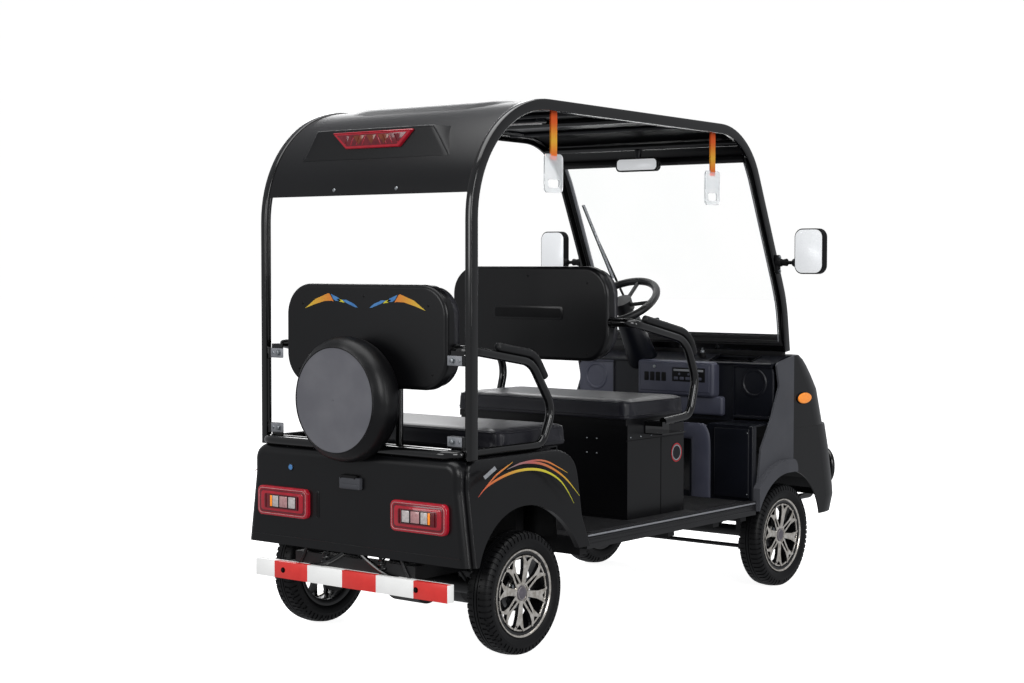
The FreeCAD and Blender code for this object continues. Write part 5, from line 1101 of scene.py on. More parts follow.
def make_roof_trim():
    tree = surface("roof_panel")
    bm = bmesh.new()
    for x in (-140, 140):
        place, normal = cast(tree, (x, 2000, 1519), FORWARD)
        pan_screw(bm, place, normal, 13, 1)

    def ceiling(x, distance):
        return cast(tree, (x, ahead(distance), 1400), (0, 0, 1))[0]

    # Ribs and lamp on the underside
    ribs = [(9, -8.0, [(-420 + 60 * step, distance) for step in range(15)])
            for distance in (120, 430, 740, 1050)]
    ribs += [(7, -6.0, [(x, 60 + 95 * step) for step in range(12)]) for x in (-352, 352)]
    for radius, drop, line in ribs:
        tube(bm, [ceiling(*spot) + Vector((0, 0, drop)) for spot in line], radius, 2, sides=12)
    place = ceiling(0, 585)
    block(bm, (-95, place.y - 32, place.z - 16), (95, place.y + 32, place.z + 2), 2, 5, 3)
    block(bm, (-82, place.y - 22, place.z - 20), (82, place.y + 22, place.z - 12), 3, 4, 3)
    # Stem of the inner mirror
    disc(bm, (0, -376.5, 1676), (0, -376.5, 1723), 10, 14, index=2, sides=24)
    finish_piece("roof_trim", bm, ["body", "zinc", "cabin", "clear_cell"])


LAMP_FIELD_LOW, LAMP_FIELD_HIGH, LAMP_FIELD_TOP_Y = 1622.0, 1722.0, 1150.0
LAMP_FIELD_LOW_HALF, LAMP_FIELD_TOP_HALF = 330.0, 262.0


def field_y(z, foot_y):
    """The field leaves the panel at its foot and stands proud of it at its top edge."""
    share = (z - LAMP_FIELD_LOW) / (LAMP_FIELD_HIGH - LAMP_FIELD_LOW)
    return foot_y + 0.8 + (LAMP_FIELD_TOP_Y - foot_y) * min(1.0, share * 2.4)


def make_lamp_field():
    """The upright field that stands out of the roof's bend and carries the brake lamp."""
    tree = surface("roof_panel")
    bm = bmesh.new()
    span = LAMP_FIELD_HIGH - LAMP_FIELD_LOW
    rows = [(LAMP_FIELD_LOW + span * step / 8,
             LAMP_FIELD_LOW_HALF - (LAMP_FIELD_LOW_HALF - LAMP_FIELD_TOP_HALF) * step / 8)
            for step in range(9)]
    foot, _ = cast(tree, (0, 2000, LAMP_FIELD_LOW), FORWARD)
    verts = [[bm.verts.new(Vector((half * (k / 12 - 1), field_y(z, foot.y), z)) * MM) for k in range(25)]
             for z, half in rows]
    for low, high in zip(verts, verts[1:]):
        for a, b, c, d in zip(low, low[1:], high[1:], high):
            bm.faces.new((a, b, c, d))
    front = list(bm.faces)
    rim = [edge for edge in bm.edges if edge.is_boundary]
    made = bmesh.ops.extrude_edge_only(bm, edges=rim)["geom"]
    for vert in (g for g in made if isinstance(g, bmesh.types.BMVert)):
        place, _ = cast(tree, (vert.co.x / MM, 2000, vert.co.z / MM), FORWARD)
        vert.co.y = (place.y - 1.0) * MM
    bmesh.ops.recalc_face_normals(bm, faces=bm.faces)
    edges = {edge for face in front for edge in face.edges
             if any(other not in front for other in edge.link_faces)}
    round_off(bm, [edge for edge in edges if edge.verts[0].co.z > (LAMP_FIELD_LOW + 5) * MM], 6, 3)
    finish_piece("brake_lamp_field", bm, ["body"], angle=50)


def make_brake_lamp():
    bm = bmesh.new()

    def layer(outline, proud, depth, *look):
        plate(bm, outline, lambda u, v, h: (u, LAMP_FIELD_TOP_Y + 0.8 + proud + h, 1684 + v), depth, *look)

    layer(((-178, 25), (-174, 28), (174, 28), (178, 25), (122, -25), (117, -28), (-117, -28), (-122, -25)),
          -1, 14, 0, 5, 3)
    layer(((-158, 19), (158, 19), (112, -19), (-112, -19)), 12, 1.6, 1, 0.8)
    # Facets moulded behind the lens
    for u0, u1, u2, index in ((-140, -100, -112, 1), (-84, -30, -56, 2), (30, 84, 56, 2), (100, 140, 112, 1),
                              (-22, 22, 0, 2)):
        layer(((u0, 15), (u1, 15), (u2, -15)), 13.2, 0.7, index, 0.2)
    for side in (-1, 1):
        for step in range(4):
            u = side * (24 + 26 * step)
            layer(((u, 16), (u + side * 3, 16), (u + side * 19, -16), (u + side * 16, -16)),
                  13.0, 0.9, 0, 0.3)
    finish_piece("roof_brake_lamp", bm, ["red_lens", "dark_red", "amber_dark"], ["rear_lamps"],
                 angle=30)


# Fittings of the body

def make_post_fittings():
    """Pale bracket plates and bolts where the arm frame is fixed to the rear posts."""
    tree = surface("roof_frame")
    bm = bmesh.new()
    for side in (-1, 1):
        for z in (712, 969):
            hit, _ = cast(tree, (side * 400, 2000, z), FORWARD)
            y = hit.y
            block(bm, (side * 400 - 30, y + 0.1, z - 15.5), (side * 400 + 30, y + 2.6, z + 15.5), 0, 1.0)
            hex_bolt(bm, (side * 392, y + 2.6, z), REARWARD, 14, 7, 1)
            disc(bm, (side * 420, y + 2.0, z), (side * 420, y + 4.4, z), 5.5, 4, index=1, sides=20)
    finish_piece("post_bracket_plates", bm, ["grey_trim_and_painted_highlight", "zinc"])


REAR_FACE, SEAT_BOX_REAR, SEAT_BOX_SIDE, SEAT_BACK_REAR, REAR_BACK_REAR = 1264.6, 253.4, 390.2, 328.5, 1201.5


def make_body_trim():
    # Rear panel: slot beside the blank plate place, its dark face a painted shade standing for the slot's
    # hollow, grey cap of the handle, blue lock face, foot line
    bm = bmesh.new()
    y = REAR_FACE
    upright(bm, rounded(17, 92, 8, 5, (152, 472)), y - 0.2, 1.4, 0, 0.6)
    # Dark face inside the slot's rim: painted shade of the slot's hollow
    upright(bm, rounded(11, 82, 5, 5, (152, 472)), y + 1.0, 0.5, 1)
    blocks(bm, y, ((-52, -4, 537, 40, 16, 576, 3, 5, 3), (-46, 10, 541, 34, 18, 556, 3, 3, 2)))
    stack(bm, (278, y, 589), REARWARD, ((0, 2.4, 13, 12, 0, 28, 0.6), (2.2, 3.4, 9.5, 8.5, 2, 24, 0.5)))
    tube(bm, [(x, y + 0.2, 352) for x in (-470, -240, 0, 240, 470)], 1.6, 0, sides=6)
    finish_piece("rear_panel_trim", bm, ["body", "dark", "film_blue", "fairing"])

    # Seat box: its seams, its screws and the round blank badge place
    bm = bmesh.new()
    for side in (-1, 1):
        x, outward = side * SEAT_BOX_SIDE, (side, 0, 0)
        block(bm, (x - 0.9, 29, 358), (x + 0.9, 32, 640), 1, 0.3)
        block(bm, (x - 0.7, -119, 640), (x + 0.7, 253, 642.4), 1, 0.3)
        screws(bm, [(side * u, SEAT_BOX_REAR, z) for z in (591, 644) for u in (215, 259)], REARWARD, 7.5, 2)
        screws(bm, [(x, y, 652) for y in (-100, -35, 95, 160, 225)], outward, 7, 2)
        lathes(bm, (side * 390.3, ahead(1024), 576), outward, (
            (3, 56, ((0, 0), (36, 0), (36, 0.7), (0, 0.7))),
            (4, 56, ((30.5, 0.6), (30.5, 1.2), (35, 1.2), (35, 0.6))),
            (5, 56, ((25, 0.6), (25, 1.2), (29, 1.2), (29, 0.6)))))
    blocks(bm, SEAT_BOX_REAR, [(-389, -0.2, z, 389, 0.8, z + 2, 0, 0.4) for z in (360, 372)])
    finish_piece("seat_box_trim", bm,
                 ["body", "dark", "zinc", "cabin", "film_red", "film_silver"])

    # Front seat back: raised oblong field left blank, and the screws
    bm = bmesh.new()
    y = SEAT_BACK_REAR
    upright(bm, rounded(326, 50, 12, 5, (0, 1097)), y - 0.2, 1.6, 0, 0.7)
    upright(bm, rounded(306, 34, 8, 5, (0, 1097)), y + 1.2, 0.6, 1, 0.3)
    spots = ((0, 1231), (-270, 1206), (270, 1206), (-272, 953), (272, 953))
    screws(bm, [(x, y, z) for x, z in spots], REARWARD, 9, 1)
    finish_piece("front_seat_back_trim", bm, ["body", "dark"])

    bm = bmesh.new()
    spots = ((0, 1168), (-282, 1141), (282, 1141), (-300, 920), (300, 920))
    screws(bm, [(x, REAR_BACK_REAR, z) for x, z in spots], REARWARD, 9, 0)
    finish_piece("rear_seat_back_screws", bm, ["dark"])


RIB_PITCH, FLOOR_RIBS = 15.0, ((-468, 23), (262, 22))


def make_sill_treads():
    bm = bmesh.new()
    for side in (-1, 1):
        for number in range(6):
            x = side * (461.5 + number * 5.0)
            block(bm, (x - 1.2, -466, 357.6), (x + 1.2, 616, 359.6), 1, 0.5, 1)
        # The top strip, in pale grey, is a painted highlight along each sill's top edge; the two strips below
        # it are grooves in the sill's own black
        for z0, z1, finish in ((350, 356, 0), (337, 340, 1), (324, 327, 1)):
            side_block(bm, side, (489, -470, z0), (492.0, 618, z1), finish, 0.8)
        for y0, y1 in ((-476, -440), (590, 622)):
            side_block(bm, side, (456.6, y0, 352), (491.6, y1, 361), 1, 2.0)
    finish_piece("sill_tread_ribs", bm, ["grey_trim_and_painted_highlight", "sill"])
    bm = bmesh.new()
    for start, count in FLOOR_RIBS:
        for number in range(count):
            y = start + number * RIB_PITCH
            block(bm, (-450, y, 355.6), (450, y + 6, 357.6), 0, 0.8, 1)
    finish_piece("floor_mat_ribs", bm, ["mat"])


# Cabin

CONSOLE_BLOCKS = (
    # Console that stands proud of the fascia, its blank slot panel, and its lower step
    (-222, -34, 742, 146, 40, 884, 0, 15, 5), (-206, 36, 758, 130, 43, 872, 0, 5, 3),
    (-186, 40, 800, -28, 44.5, 858, 1, 3, 2), (-178, 43, 842, -36, 45.4, 851, 2, 1.2),
    *((-170 + 28 * k, 43, 808, -150 + 28 * k, 46, 820, 0, 1.6) for k in range(5)),
    *((2 + 28 * k, 40, 800, 23 + 28 * k, 45.5, 836, 1, 2.2) for k in range(4)),
    (-250, -36, 668, 170, 16, 746, 0, 12, 4),
)


def make_dash_trim():
    bm = bmesh.new()
    face = ahead(1580)
    blocks(bm, face, CONSOLE_BLOCKS)
    for column in range(3):
        stack(bm, (-152 + column * 44, face, 831), REARWARD, ((43, 46.4, 5.4, 4.8, 0, 20, 0.5),))
    stack(bm, (58, face, 858), REARWARD, ((40, 46, 7, 6.2, 3, 24, 0.6),))
    for side in (-1, 1):
        # Lips of the cubby, and the moulded face of the pod with a dished round grille in it
        finish = 4 if side < 0 else 0
        for low, high, depth in ((662, 676, 4), (866, 880, 3)):
            side_block(bm, side, (292, face - 6, low), (468, face + depth, high), finish, 4, 3)
        upright(bm, rounded(184, 200, 26, 6, (side * 380, 771)), face - 14, 10, finish, 4, 3)
        centre = Vector((side * 385, face - 4, 806))
        lathes(bm, centre, REARWARD, (
            (finish, 64, ((0, -5), (38, -4), (45, 0.4), (48, 3.2), (54, 3.0), (58, 0), (58, -4), (0, -8))),
            (1, 64, ((0, -2.6), (42, -1.8), (42, -4), (0, -5)))))
        for row in range(-3, 4):
            half = math.sqrt(40 ** 2 - (row * 11) ** 2)
            block(bm, (centre.x - half, centre.y - 3, centre.z - 1 + row * 11),
                  (centre.x + half, centre.y - 0.6, centre.z + 1 + row * 11), 1, 0.6, 1)
    # Rolled front edge of the shelf, key switch with its key, and the lip round the tray
    tube(bm, [(x, face + 1, 879) for x in (-468, -230, 0, 230, 468)], 6, 4, sides=12)
    key = ahead(1640)
    disc(bm, (-110, key, 892), (-110, key + 4, 916), 14, 12, index=1, sides=32, bevel=1.5)
    disc(bm, (-110, key + 3.4, 915), (-110, key + 5, 924), 9.5, 8.5, index=3, sides=28, bevel=1)
    block(bm, (-112, key + 1, 922), (-108, key + 9, 934), 3, 0.8)
    ring = [(x, ahead(distance), z) for x, distance, z in
            ((-360, 1604, 888), (-165, 1604, 888), (-165, 1680, 908), (-360, 1680, 908))]
    tube(bm, ring, 3.2, 1, sides=10, cyclic=True, smooth=False)
    finish_piece("dashboard_trim", bm, ["console", "dark", "grey_trim_and_painted_highlight", "zinc", "cabin"])

    # Padded frame round the leg opening, flattened from a round tube, and the panels beside it
    bm = bmesh.new()
    shield = ahead(1430)
    leg = [(238, 358), (238, 470), (238, 560), (234, 606), (206, 628), (150, 632)]
    path = [(-x, shield - 2, z) for x, z in leg] + [(0, shield - 2, 632)]
    path += [(x, shield - 2, z) for x, z in reversed(leg)]
    before = set(bm.verts)
    tube(bm, path, 46, 0, sides=24)
    for vert in set(bm.verts) - before:
        vert.co.y = (shield - 2) * MM + (vert.co.y - (shield - 2) * MM) * 0.24
        vert.co.z = min(vert.co.z, 648 * MM)
    for side in (-1, 1):
        side_block(bm, side, (300, shield - 0.4, 366), (462, shield + 8, 640), 1, 7, 5)
        screws(bm, [(side * 452, shield + 8, z) for z in (384, 622)], REARWARD, 7, 2)
        side_block(bm, side, (456, shield - 24, 350), (477.4, shield + 5, 648), 1, 5, 3)
    finish_piece("leg_opening_frame", bm, ["console", "cabin", "zinc"])


COLUMN_RAKE, GRIP_CENTRE, GRIP_RADIUS = 57, (170, -507.5, 1122), 150


def make_steering_trim():
    """Horn pad and grip of the wheel, and the switch pods and stalks round the column."""
    rake = math.radians(COLUMN_RAKE)
    axis = Vector((0, math.cos(rake), math.sin(rake)))
    across = Vector((1, 0, 0))
    rise = axis.cross(across)
    if rise.z < 0:
        rise = -rise
    centre = Vector(GRIP_CENTRE)
    bm = bmesh.new()
    hub = centre - axis * 34
    lathes(bm, hub, axis, ((0, 56, ((0, 14), (20, 13.5), (34, 10), (41, 2), (43, -8), (40, -10), (0, -10))),
                           (1, 56, ((24, 12.6), (24.6, 14), (26, 13.6), (26.4, 12)))))
    tube(bm, [centre + (across * c + rise * s) * GRIP_RADIUS for c, s in round_turn(36)], 15.5, 0, sides=20,
         cyclic=True)
    # Finger grips moulded under the rim
    for c, s in round_turn(24):
        out = across * c + rise * s
        spot = centre + out * GRIP_RADIUS
        disc(bm, spot - out * 9 - axis * 7, spot - out * 9.5 - axis * 8.5, 8.5, 5, index=0, sides=14)
    finish_piece("steering_wheel_trim", bm, ["foam", "grey_trim_and_painted_highlight"], body="steering_wheel")

    bm = bmesh.new()
    root = hub - axis * 74
    stack(bm, root, axis, ((-190, 26, 62, 48, 0, 40, 9), (22, 50, 44, 34, 0, 40, 5)))
    for side in (-1, 1):
        out = across * side
        stalk = [root + out * reach + axis * lift for reach, lift in ((26, 0), (66, 6), (126, 20), (152, 25))]
        for start, end, look in zip(stalk, stalk[1:], ((17, 13, 0, 24, 2), (5, 6, 0, 16), (8, 7, 0, 20, 2))):
            disc(bm, start, end, *look)
    disc(bm, root - rise * 20, root - rise * 46, 11, 10, index=2, sides=24, bevel=1)
    finish_piece("column_switches", bm, ["cabin", "dark", "zinc"])


def make_screen_trim():
    """Rubber edge of the windscreen, the pale strip on each pillar, a painted highlight down the far pillar
    and the wiper's blade rubber.
    """
    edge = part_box("windscreen")[1][0] / MM - 9
    tree = surface("windscreen")
    bm = bmesh.new()

    def shifted(line, x, y, z=0):
        return [point + Vector((x, y, z)) for point in line]

    lines = {}
    for side in (-1, 1):
        line = [cast(tree, (side * edge, 400, 960 + 724 * step / 12), FORWARD)[0] for step in range(13)]
        lines[side] = line
        tube(bm, shifted(line, side * 3, 2.5), 6.5, 0, sides=10)
        tube(bm, shifted(line, -side * 7, 4.0), 2.6, 1, sides=8)

    def crossing(end, steps):
        return [lines[1][end].lerp(lines[-1][end], k / steps) for k in range(steps + 1)]

    for end in (0, -1):
        tube(bm, shifted(crossing(end, 6), 0, 2.5), 6.5, 0, sides=10)
    # Cowl strip that closes the foot of the screen down to the shelf, and the printed band above it
    blocks(bm, lines[1][0].y, ((-452, -14, 905, 452, 7, 972, 0, 3.0, 3),
                               (-440, -14, 968, 440, 3.5, 996, 0, 3.0, 3)))
    # Painted highlight: a pale strip down the far pillar only; and the black screen-printed band below the
    # header
    tube(bm, shifted(lines[1], -16, 6.0), 5.0, 1, sides=10)
    tube(bm, shifted(crossing(-1, 8), 0, 1.0, -8), 12, 0, sides=12)
    # Pale steel back of the wiper blade, just outside the glass
    blade = [cast(tree, (344 + 56 * share, 400, 1215 + 305 * share), FORWARD)[0]
             for share in (0.0, 0.25, 0.5, 0.75, 1.0)]
    tube(bm, shifted(blade, 0, -13), 4.6, 1, sides=10)
    finish_piece("windscreen_seal", bm, ["seal", "grey_trim_and_painted_highlight"])


MIRROR_ARM_Y, MIRROR_ARM_Z = -648, 1281.0


def make_mirror_arms():
    bm = bmesh.new()
    y, z = MIRROR_ARM_Y, MIRROR_ARM_Z
    for side in (-1, 1):
        for x0, x1, y1, z1, *look in ((478, 497, y, z, 17, 15, 0, 28, 2),
                                      (497, 520, y, z + 1, 12, 15, 0, 28, 1.5),
                                      (548, 562, y + 2, z, 14, 19, 0, 28, 1.5)):
            disc(bm, (side * x0, y, z), (side * x1, y1, z1), *look)
        block(bm, (side * 478 - 8, y - 12, z - 44), (side * 478 + 8, y + 12, z + 30), 0, 5, 3)
        for rise in (-34, 20):
            hex_bolt(bm, (side * 486, y, z + rise), (side, 0, 0), 9, 5, 1)
    finish_piece("mirror_arm_joints", bm, ["dark", "zinc"])


UNDER_TUBES = (
    # radius, finish, sides and line of the hoses and links at the rear axle
    (5, 0, 10, ((60, 1090, 300), (110, 1120, 330), (190, 1090, 300), (250, 1010, 262), (300, 960, 250))),
    (3.6, 0, 8, ((40, 1100, 262), (120, 1150, 285), (210, 1120, 300), (270, 1030, 300))),
    (7.5, 2, 12, ((40, 1254, 322), (120, 1256, 272), (230, 1256, 256), (318, 1250, 250))),
    (5.5, 1, 12, ((214, 1254, 322), (236, 1256, 280), (262, 1252, 246))),
)
UNDER_RODS = (
    # ends and look of the damper, its eye and the spring's core
    ((245, 1060, 322), (245, 960, 214), 7, None, 1, 16),
    ((245, 1066, 328), (245, 1054, 316), 14, None, 1, 24, 1),
    ((151, 1256, 234), (113, 1248, 330), 6, None, 1, 16),
)
FLOOR_WEB = ((-40, 332), (-40, 306), (-300, 262), (-560, 240), (-600, 252), (-600, 332))


def make_under_trim():
    """Hoses, links and springs at the rear axle, and the stiffening webs under the floor."""
    bm = bmesh.new()
    for side in (-1, 1):
        for radius, finish, sides, line in UNDER_TUBES:
            tube(bm, sided(side, line), radius, finish, sides=sides)
        for start, end, *look in UNDER_RODS:
            disc(bm, *sided(side, (start, end)), *look)
        spring = []
        for step in range(73):
            turn, share = math.tau * step / 12, step / 72
            spot = Vector((side * (150 - 36 * share), 1256 - 8 * share, 238 + 86 * share))
            spring.append(spot + Vector((math.cos(turn) * 17, math.sin(turn) * 9, 0)))
        tube(bm, spring, 3.0, 2, sides=8, smooth=False)
    finish_piece("rear_axle_links", bm, ["seal", "axle", "tube"])

    # Webs between the rails and the front wheels
    bm = bmesh.new()
    for side in (-1, 1):
        plate(bm, FLOOR_WEB, lambda u, v, h: (side * (268 + h), u, v), 4, 0, 0.8)
        screws(bm, [(side * 272, -110 - 130 * k, 312) for k in range(4)], (side, 0, 0), 9, 0)
    finish_piece("floor_webs", bm, ["chassis"])


NOSE_HUB_Y, LEDGE_BOTTOM, LEDGE_THICKNESS = -790.0, 617.5, 3.7
LEDGE_TUCK, LEDGE_INSET = 12.0, 2.5


def make_nose_ledge():
    """Inward flange of the lower nose shell, which closes the slot under the upper one."""
    outline = {"upper_cowl": [], "lower_cowl": []}
    for node, height, inset in (("upper_cowl", 622.6, LEDGE_TUCK), ("lower_cowl", 620.5, LEDGE_INSET)):
        tree = surface(node)
        hub = Vector((0, NOSE_HUB_Y, height))
        for step in range(65):
            angle = math.radians(-80 + 2.5 * step)
            out = Vector((math.sin(angle), -math.cos(angle), 0))
            place, _ = cast(tree, hub + out * 1200, -out)
            spot = place - out * inset
            outline[node].append((spot.x, spot.y))
    bm = bmesh.new()
    plate(bm, outline["lower_cowl"] + outline["upper_cowl"][::-1],
          lambda u, v, h: (u, v, LEDGE_BOTTOM + h), LEDGE_THICKNESS)
    finish_piece("nose_ledge", bm, ["body"])


# Stage

LENS = 64.05
CAMERA_PLACE = (-4.1287, 5.5781, 1.2757)
CAMERA_TURN = (218.674, 2.449, 0.081)
LOOK_AT = (0, 0, 0.8)
SOFT_BOXES = (
    # name, place, size and power of each soft box
    ("overhead_softbox", (0.0, 0.5, 5.2), (5.0, 6.0), 210),
    ("key_softbox", (-6.0, 4.5, 3.4), (3.0, 3.5), 150),
    ("rear_softbox", (2.5, 7.5, 2.6), (3.0, 2.5), 80),
    ("far_softbox", (6.0, -4.0, 3.6), (4.0, 3.0), 110),
    ("strip_softbox", (-6.0, 0.6, 1.7), (0.35, 3.2), 34),
)


def stage_piece(name, bm, material, hidden_from):
    """A lit surface of the studio that the rays named don't meet."""
    surround = mesh_object(name, bm)
    surround.data.materials.append(material)
    for rays in hidden_from:
        setattr(surround, "visible_" + rays, False)


def make_stage(floor_colour):
    scene = bpy.context.scene
    scene.view_settings.view_transform = "Standard"
    scene.view_settings.look = "None"
    world = bpy.data.worlds.new("studio")
    scene.world = world
    world.use_nodes = True
    world.node_tree.nodes["Background"].inputs["Color"].default_value = srgb("#f2f4f8")
    world.node_tree.nodes["Background"].inputs["Strength"].default_value = 0.36

    bm = bmesh.new()
    bmesh.ops.create_grid(bm, x_segments=2, y_segments=2, size=60.0)
    sweep, _, _ = plain("matt_studio_floor", "#f4f4f3", 0.9, Specular_IOR_Level=0.1, Emission_Strength=0.92,
                        Emission_Color=(*floor_colour, 1.0))
    stage_piece("floor", bm, sweep, ("diffuse", "glossy"))
    bm = bmesh.new()
    bmesh.ops.create_icosphere(bm, subdivisions=4, radius=58.0)
    glow, _, _ = plain("lit_backdrop", "#000000", 1.0, Emission_Strength=1.0, Emission_Color="#ffffff")
    stage_piece("backdrop", bm, glow, ("diffuse", "glossy", "shadow"))

    for name, place, size, power in SOFT_BOXES:
        lamp = bpy.data.lights.new(name, "AREA")
        lamp.shape = "RECTANGLE"
        lamp.size, lamp.size_y = size
        lamp.energy = power
        box = add_object(name, lamp)
        box.location = place
        box.rotation_euler = (Vector(LOOK_AT) - Vector(place)).to_track_quat("-Z", "Y").to_euler()

    camera = bpy.data.cameras.new("camera")
    camera.lens = LENS
    camera.sensor_width = 36.0
    camera.sensor_fit = "HORIZONTAL"
    camera.clip_end = 200.0
    holder = add_object("camera", camera)
    azimuth, elevation, roll = (math.radians(a) for a in CAMERA_TURN)
    forward = Vector((-math.sin(azimuth) * math.cos(elevation), math.cos(azimuth) * math.cos(elevation),
                      -math.sin(elevation)))
    right = forward.cross(Vector((0, 0, 1))).normalized()
    up = right.cross(forward)
    turned_right = math.cos(roll) * right + math.sin(roll) * up
    turned_up = math.cos(roll) * up - math.sin(roll) * right
    place = Matrix((turned_right, turned_up, -forward)).transposed().to_4x4()
    place.translation = Vector(CAMERA_PLACE)
    holder.matrix_world = place
    scene.camera = holder


# Finishes of the CAD nodes that keep their shape

NODE_FINISH = {
    "chassis_frame": "chassis", "roof_frame": "tube", "rear_arm_frame": "tube", "front_arms": "tube",
    "front_hoop": "tube", "front_axle": "axle", "rear_axle": "axle", "knuckle_left": "axle",
    "knuckle_right": "axle", "track_rod": "axle", "pitman_arm": "axle", "steering_gear": "axle",
    "steering_shaft": "zinc", "battery_block": "battery", "rear_panel": "body", "rear_fenders": "body",
    "rear_deck": "body", "seat_box": "body", "upper_cowl": "body", "lower_cowl": "body",
    "side_fairings": "fairing", "sills": "sill", "floor_pan": "mat", "leg_shield": "cabin",
    "dashboard": "cabin", "column_shroud": "cabin", "front_backrest_shell": "body",
    "rear_backrest_shell": "body", "roof_panel": "body", "windscreen": "glass", "wiper": "dark",
    "mirrors": "dark", "pedals": "mat", "steering_wheel": "foam", "shocks": "spring",
    "rear_lamps": "red_lens", "front_lamps": "clear", "bumper_bar": "white_sheet",
    "strap_handles": "clear", "spare_cover": "cover",
    "front_cushion": "vinyl", "rear_cushion": "vinyl", "front_backrest_pad": "vinyl",
    "rear_backrest_pad": "vinyl", "arm_pads": "foam",
}


def coat_frame():
    for node, finish in NODE_FINISH.items():
        coat_node(node, finish)
    for corner in CORNERS:
        coat_node("tyre_" + corner, "tyre")
        coat_node("rim_" + corner, "alloy")


class GOLFCART_PG_looks(bpy.types.PropertyGroup):
    """Sizes of the dressed pieces that can be set in the panel"""
    tread_steps: IntProperty(name="Tread steps",
                             description="Steps round a tyre, every third one a cross slot", default=186,
                             min=90, max=240)
    tread_depth: FloatProperty(name="Tread depth", description="Depth of the cross slots in the tyres",
                               default=0.0034, min=0.001, max=0.006, unit="LENGTH")
    arm_coat: FloatProperty(name="Arm coat", description="Thickness of the gloss coat on the arm tubes",
                            default=0.003, min=0.0005, max=0.006, unit="LENGTH")
    crown_rise: FloatProperty(name="Crown rise", description="Height of the raised field of the roof",
                              default=0.0075, min=0.001, max=0.009, unit="LENGTH")
    floor_colour: FloatVectorProperty(name="Floor colour", description="Colour of the studio floor",
                                      default=(1.0, 1.0, 1.0), min=0.0, max=1.0, subtype="COLOR")


class GOLFCART_OT_stage(bpy.types.Operator):
    """Pale floor, soft boxes and the camera of the photograph"""
    bl_idname = "golfcart.stage"
    bl_label = "Stage and camera"

    def execute(self, context):
        make_stage(context.scene.golf_cart_looks.floor_colour)
        return {"FINISHED"}


class GOLFCART_OT_frame(bpy.types.Operator):
    """Finishes of the metal and moulded parts that keep their shape"""
    bl_idname = "golfcart.frame"
    bl_label = "Frame finishes"

    def execute(self, context):
        FINISH.update(make_materials())
        coat_frame()
        return {"FINISHED"}


class GOLFCART_OT_wheels(bpy.types.Operator):
    """Tyres with their tread and the eight-spoke alloy wheels"""
    bl_idname = "golfcart.wheels"
    bl_label = "Wheels"

    def execute(self, context):
        looks = context.scene.golf_cart_looks
        for corner in CORNERS:
            make_tyre(corner, looks.tread_steps, looks.tread_depth / MM)
            make_rim(corner)
        return {"FINISHED"}


class GOLFCART_OT_suspension(bpy.types.Operator):
    """Dampers and coil springs"""
    bl_idname = "golfcart.suspension"
    bl_label = "Suspension"

    def execute(self, context):
        make_springs()
        return {"FINISHED"}


class GOLFCART_OT_upholstery(bpy.types.Operator):
    """Seat cushions, seat backs, their piping and the arm pads"""
    bl_idname = "golfcart.upholstery"
    bl_label = "Upholstery"

    def execute(self, context):
        make_upholstery()
        make_arm_pads()
        make_arm_tubes(context.scene.golf_cart_looks.arm_coat / MM)
        return {"FINISHED"}


class GOLFCART_OT_spare_cover(bpy.types.Operator):
    """Spare wheel and its sewn cover"""
    bl_idname = "golfcart.spare_cover"
    bl_label = "Spare wheel cover"

    def execute(self, context):
        make_spare_cover()
        return {"FINISHED"}


class GOLFCART_OT_lamps(bpy.types.Operator):
    """Tail, plate, brake and head lamps, the side markers and the roof's lamp field"""
    bl_idname = "golfcart.lamps"
    bl_label = "Lamps"

    def execute(self, context):
        make_tail_lamps()
        make_lamp_field()
        make_brake_lamp()
        make_front_lamps()
        return {"FINISHED"}


class GOLFCART_OT_bumper(bpy.types.Operator):
    """Red and white reflective fields of the rear bar"""
    bl_idname = "golfcart.bumper"
    bl_label = "Bumper fields"

    def execute(self, context):
        make_bumper()
        return {"FINISHED"}


class GOLFCART_OT_film(bpy.types.Operator):
    """Coloured film on the fenders and the rear seat back"""
    bl_idname = "golfcart.film"
    bl_label = "Coloured film"

    def execute(self, context):
        make_fender_stripes()
        make_seat_back_film()
        return {"FINISHED"}


class GOLFCART_OT_mirrors(bpy.types.Operator):
    """Glass of the three mirrors and the joints of their arms"""
    bl_idname = "golfcart.mirrors"
    bl_label = "Mirrors"

    def execute(self, context):
        make_mirror_glass()
        make_mirror_arms()
        return {"FINISHED"}


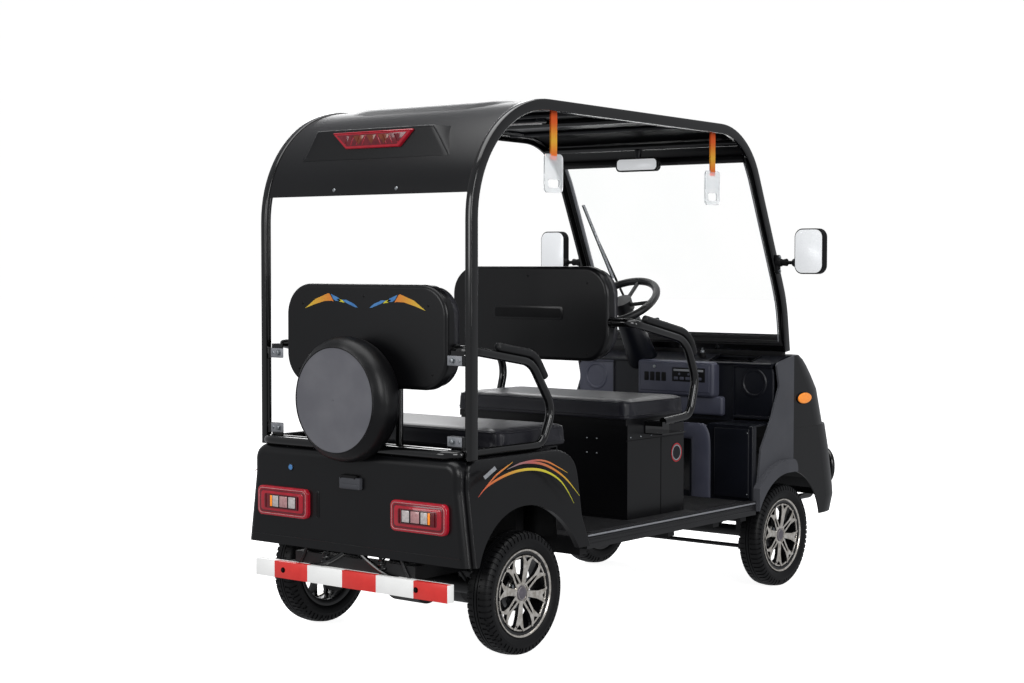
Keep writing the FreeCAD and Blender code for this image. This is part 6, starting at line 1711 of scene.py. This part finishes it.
class GOLFCART_OT_roof(bpy.types.Operator):
    """Frame tubes, raised crown, ribs and screws of the roof, and the windscreen's edge"""
    bl_idname = "golfcart.roof"
    bl_label = "Roof and screen trim"

    def execute(self, context):
        make_roof_frame()
        make_roof_crown(context.scene.golf_cart_looks.crown_rise / MM)
        make_roof_trim()
        make_screen_trim()
        return {"FINISHED"}


class GOLFCART_OT_body(bpy.types.Operator):
    """Seams, screws and brackets of the body, sill and floor ribs, axle links and nose flange"""
    bl_idname = "golfcart.body"
    bl_label = "Body trim"

    def execute(self, context):
        make_post_fittings()
        make_body_trim()
        make_sill_treads()
        make_under_trim()
        make_nose_ledge()
        return {"FINISHED"}


class GOLFCART_OT_cabin(bpy.types.Operator):
    """Console, grilles, leg opening frame and the steering column's fittings"""
    bl_idname = "golfcart.cabin"
    bl_label = "Cabin trim"

    def execute(self, context):
        make_dash_trim()
        make_steering_trim()
        return {"FINISHED"}


class GOLFCART_OT_straps(bpy.types.Operator):
    """Webbing grab straps with their clear handles"""
    bl_idname = "golfcart.straps"
    bl_label = "Grab straps"

    def execute(self, context):
        make_straps()
        return {"FINISHED"}


OPERATORS = (GOLFCART_OT_stage, GOLFCART_OT_frame, GOLFCART_OT_wheels, GOLFCART_OT_suspension,
             GOLFCART_OT_upholstery, GOLFCART_OT_spare_cover, GOLFCART_OT_lamps, GOLFCART_OT_bumper,
             GOLFCART_OT_film, GOLFCART_OT_mirrors, GOLFCART_OT_straps, GOLFCART_OT_roof,
             GOLFCART_OT_body, GOLFCART_OT_cabin)


class GOLFCART_PT_pieces(bpy.types.Panel):
    """Lists the operators that dress the cart"""
    bl_label = "Golf cart"
    bl_space_type = "VIEW_3D"
    bl_region_type = "UI"
    bl_category = "Golf cart"

    def draw(self, context):
        for operator in OPERATORS:
            self.layout.operator(operator.bl_idname)


CLASSES = (GOLFCART_PG_looks,) + OPERATORS + (GOLFCART_PT_pieces,)


def register():
    for item in CLASSES:
        bpy.utils.register_class(item)
    bpy.types.Scene.golf_cart_looks = PointerProperty(type=GOLFCART_PG_looks)


def unregister():
    del bpy.types.Scene.golf_cart_looks
    for item in reversed(CLASSES):
        bpy.utils.unregister_class(item)


def main():
    register()
    for operator in OPERATORS:
        group, name = operator.bl_idname.split(".")
        getattr(getattr(bpy.ops, group), name)()


if __name__ == "__main__":
    main()
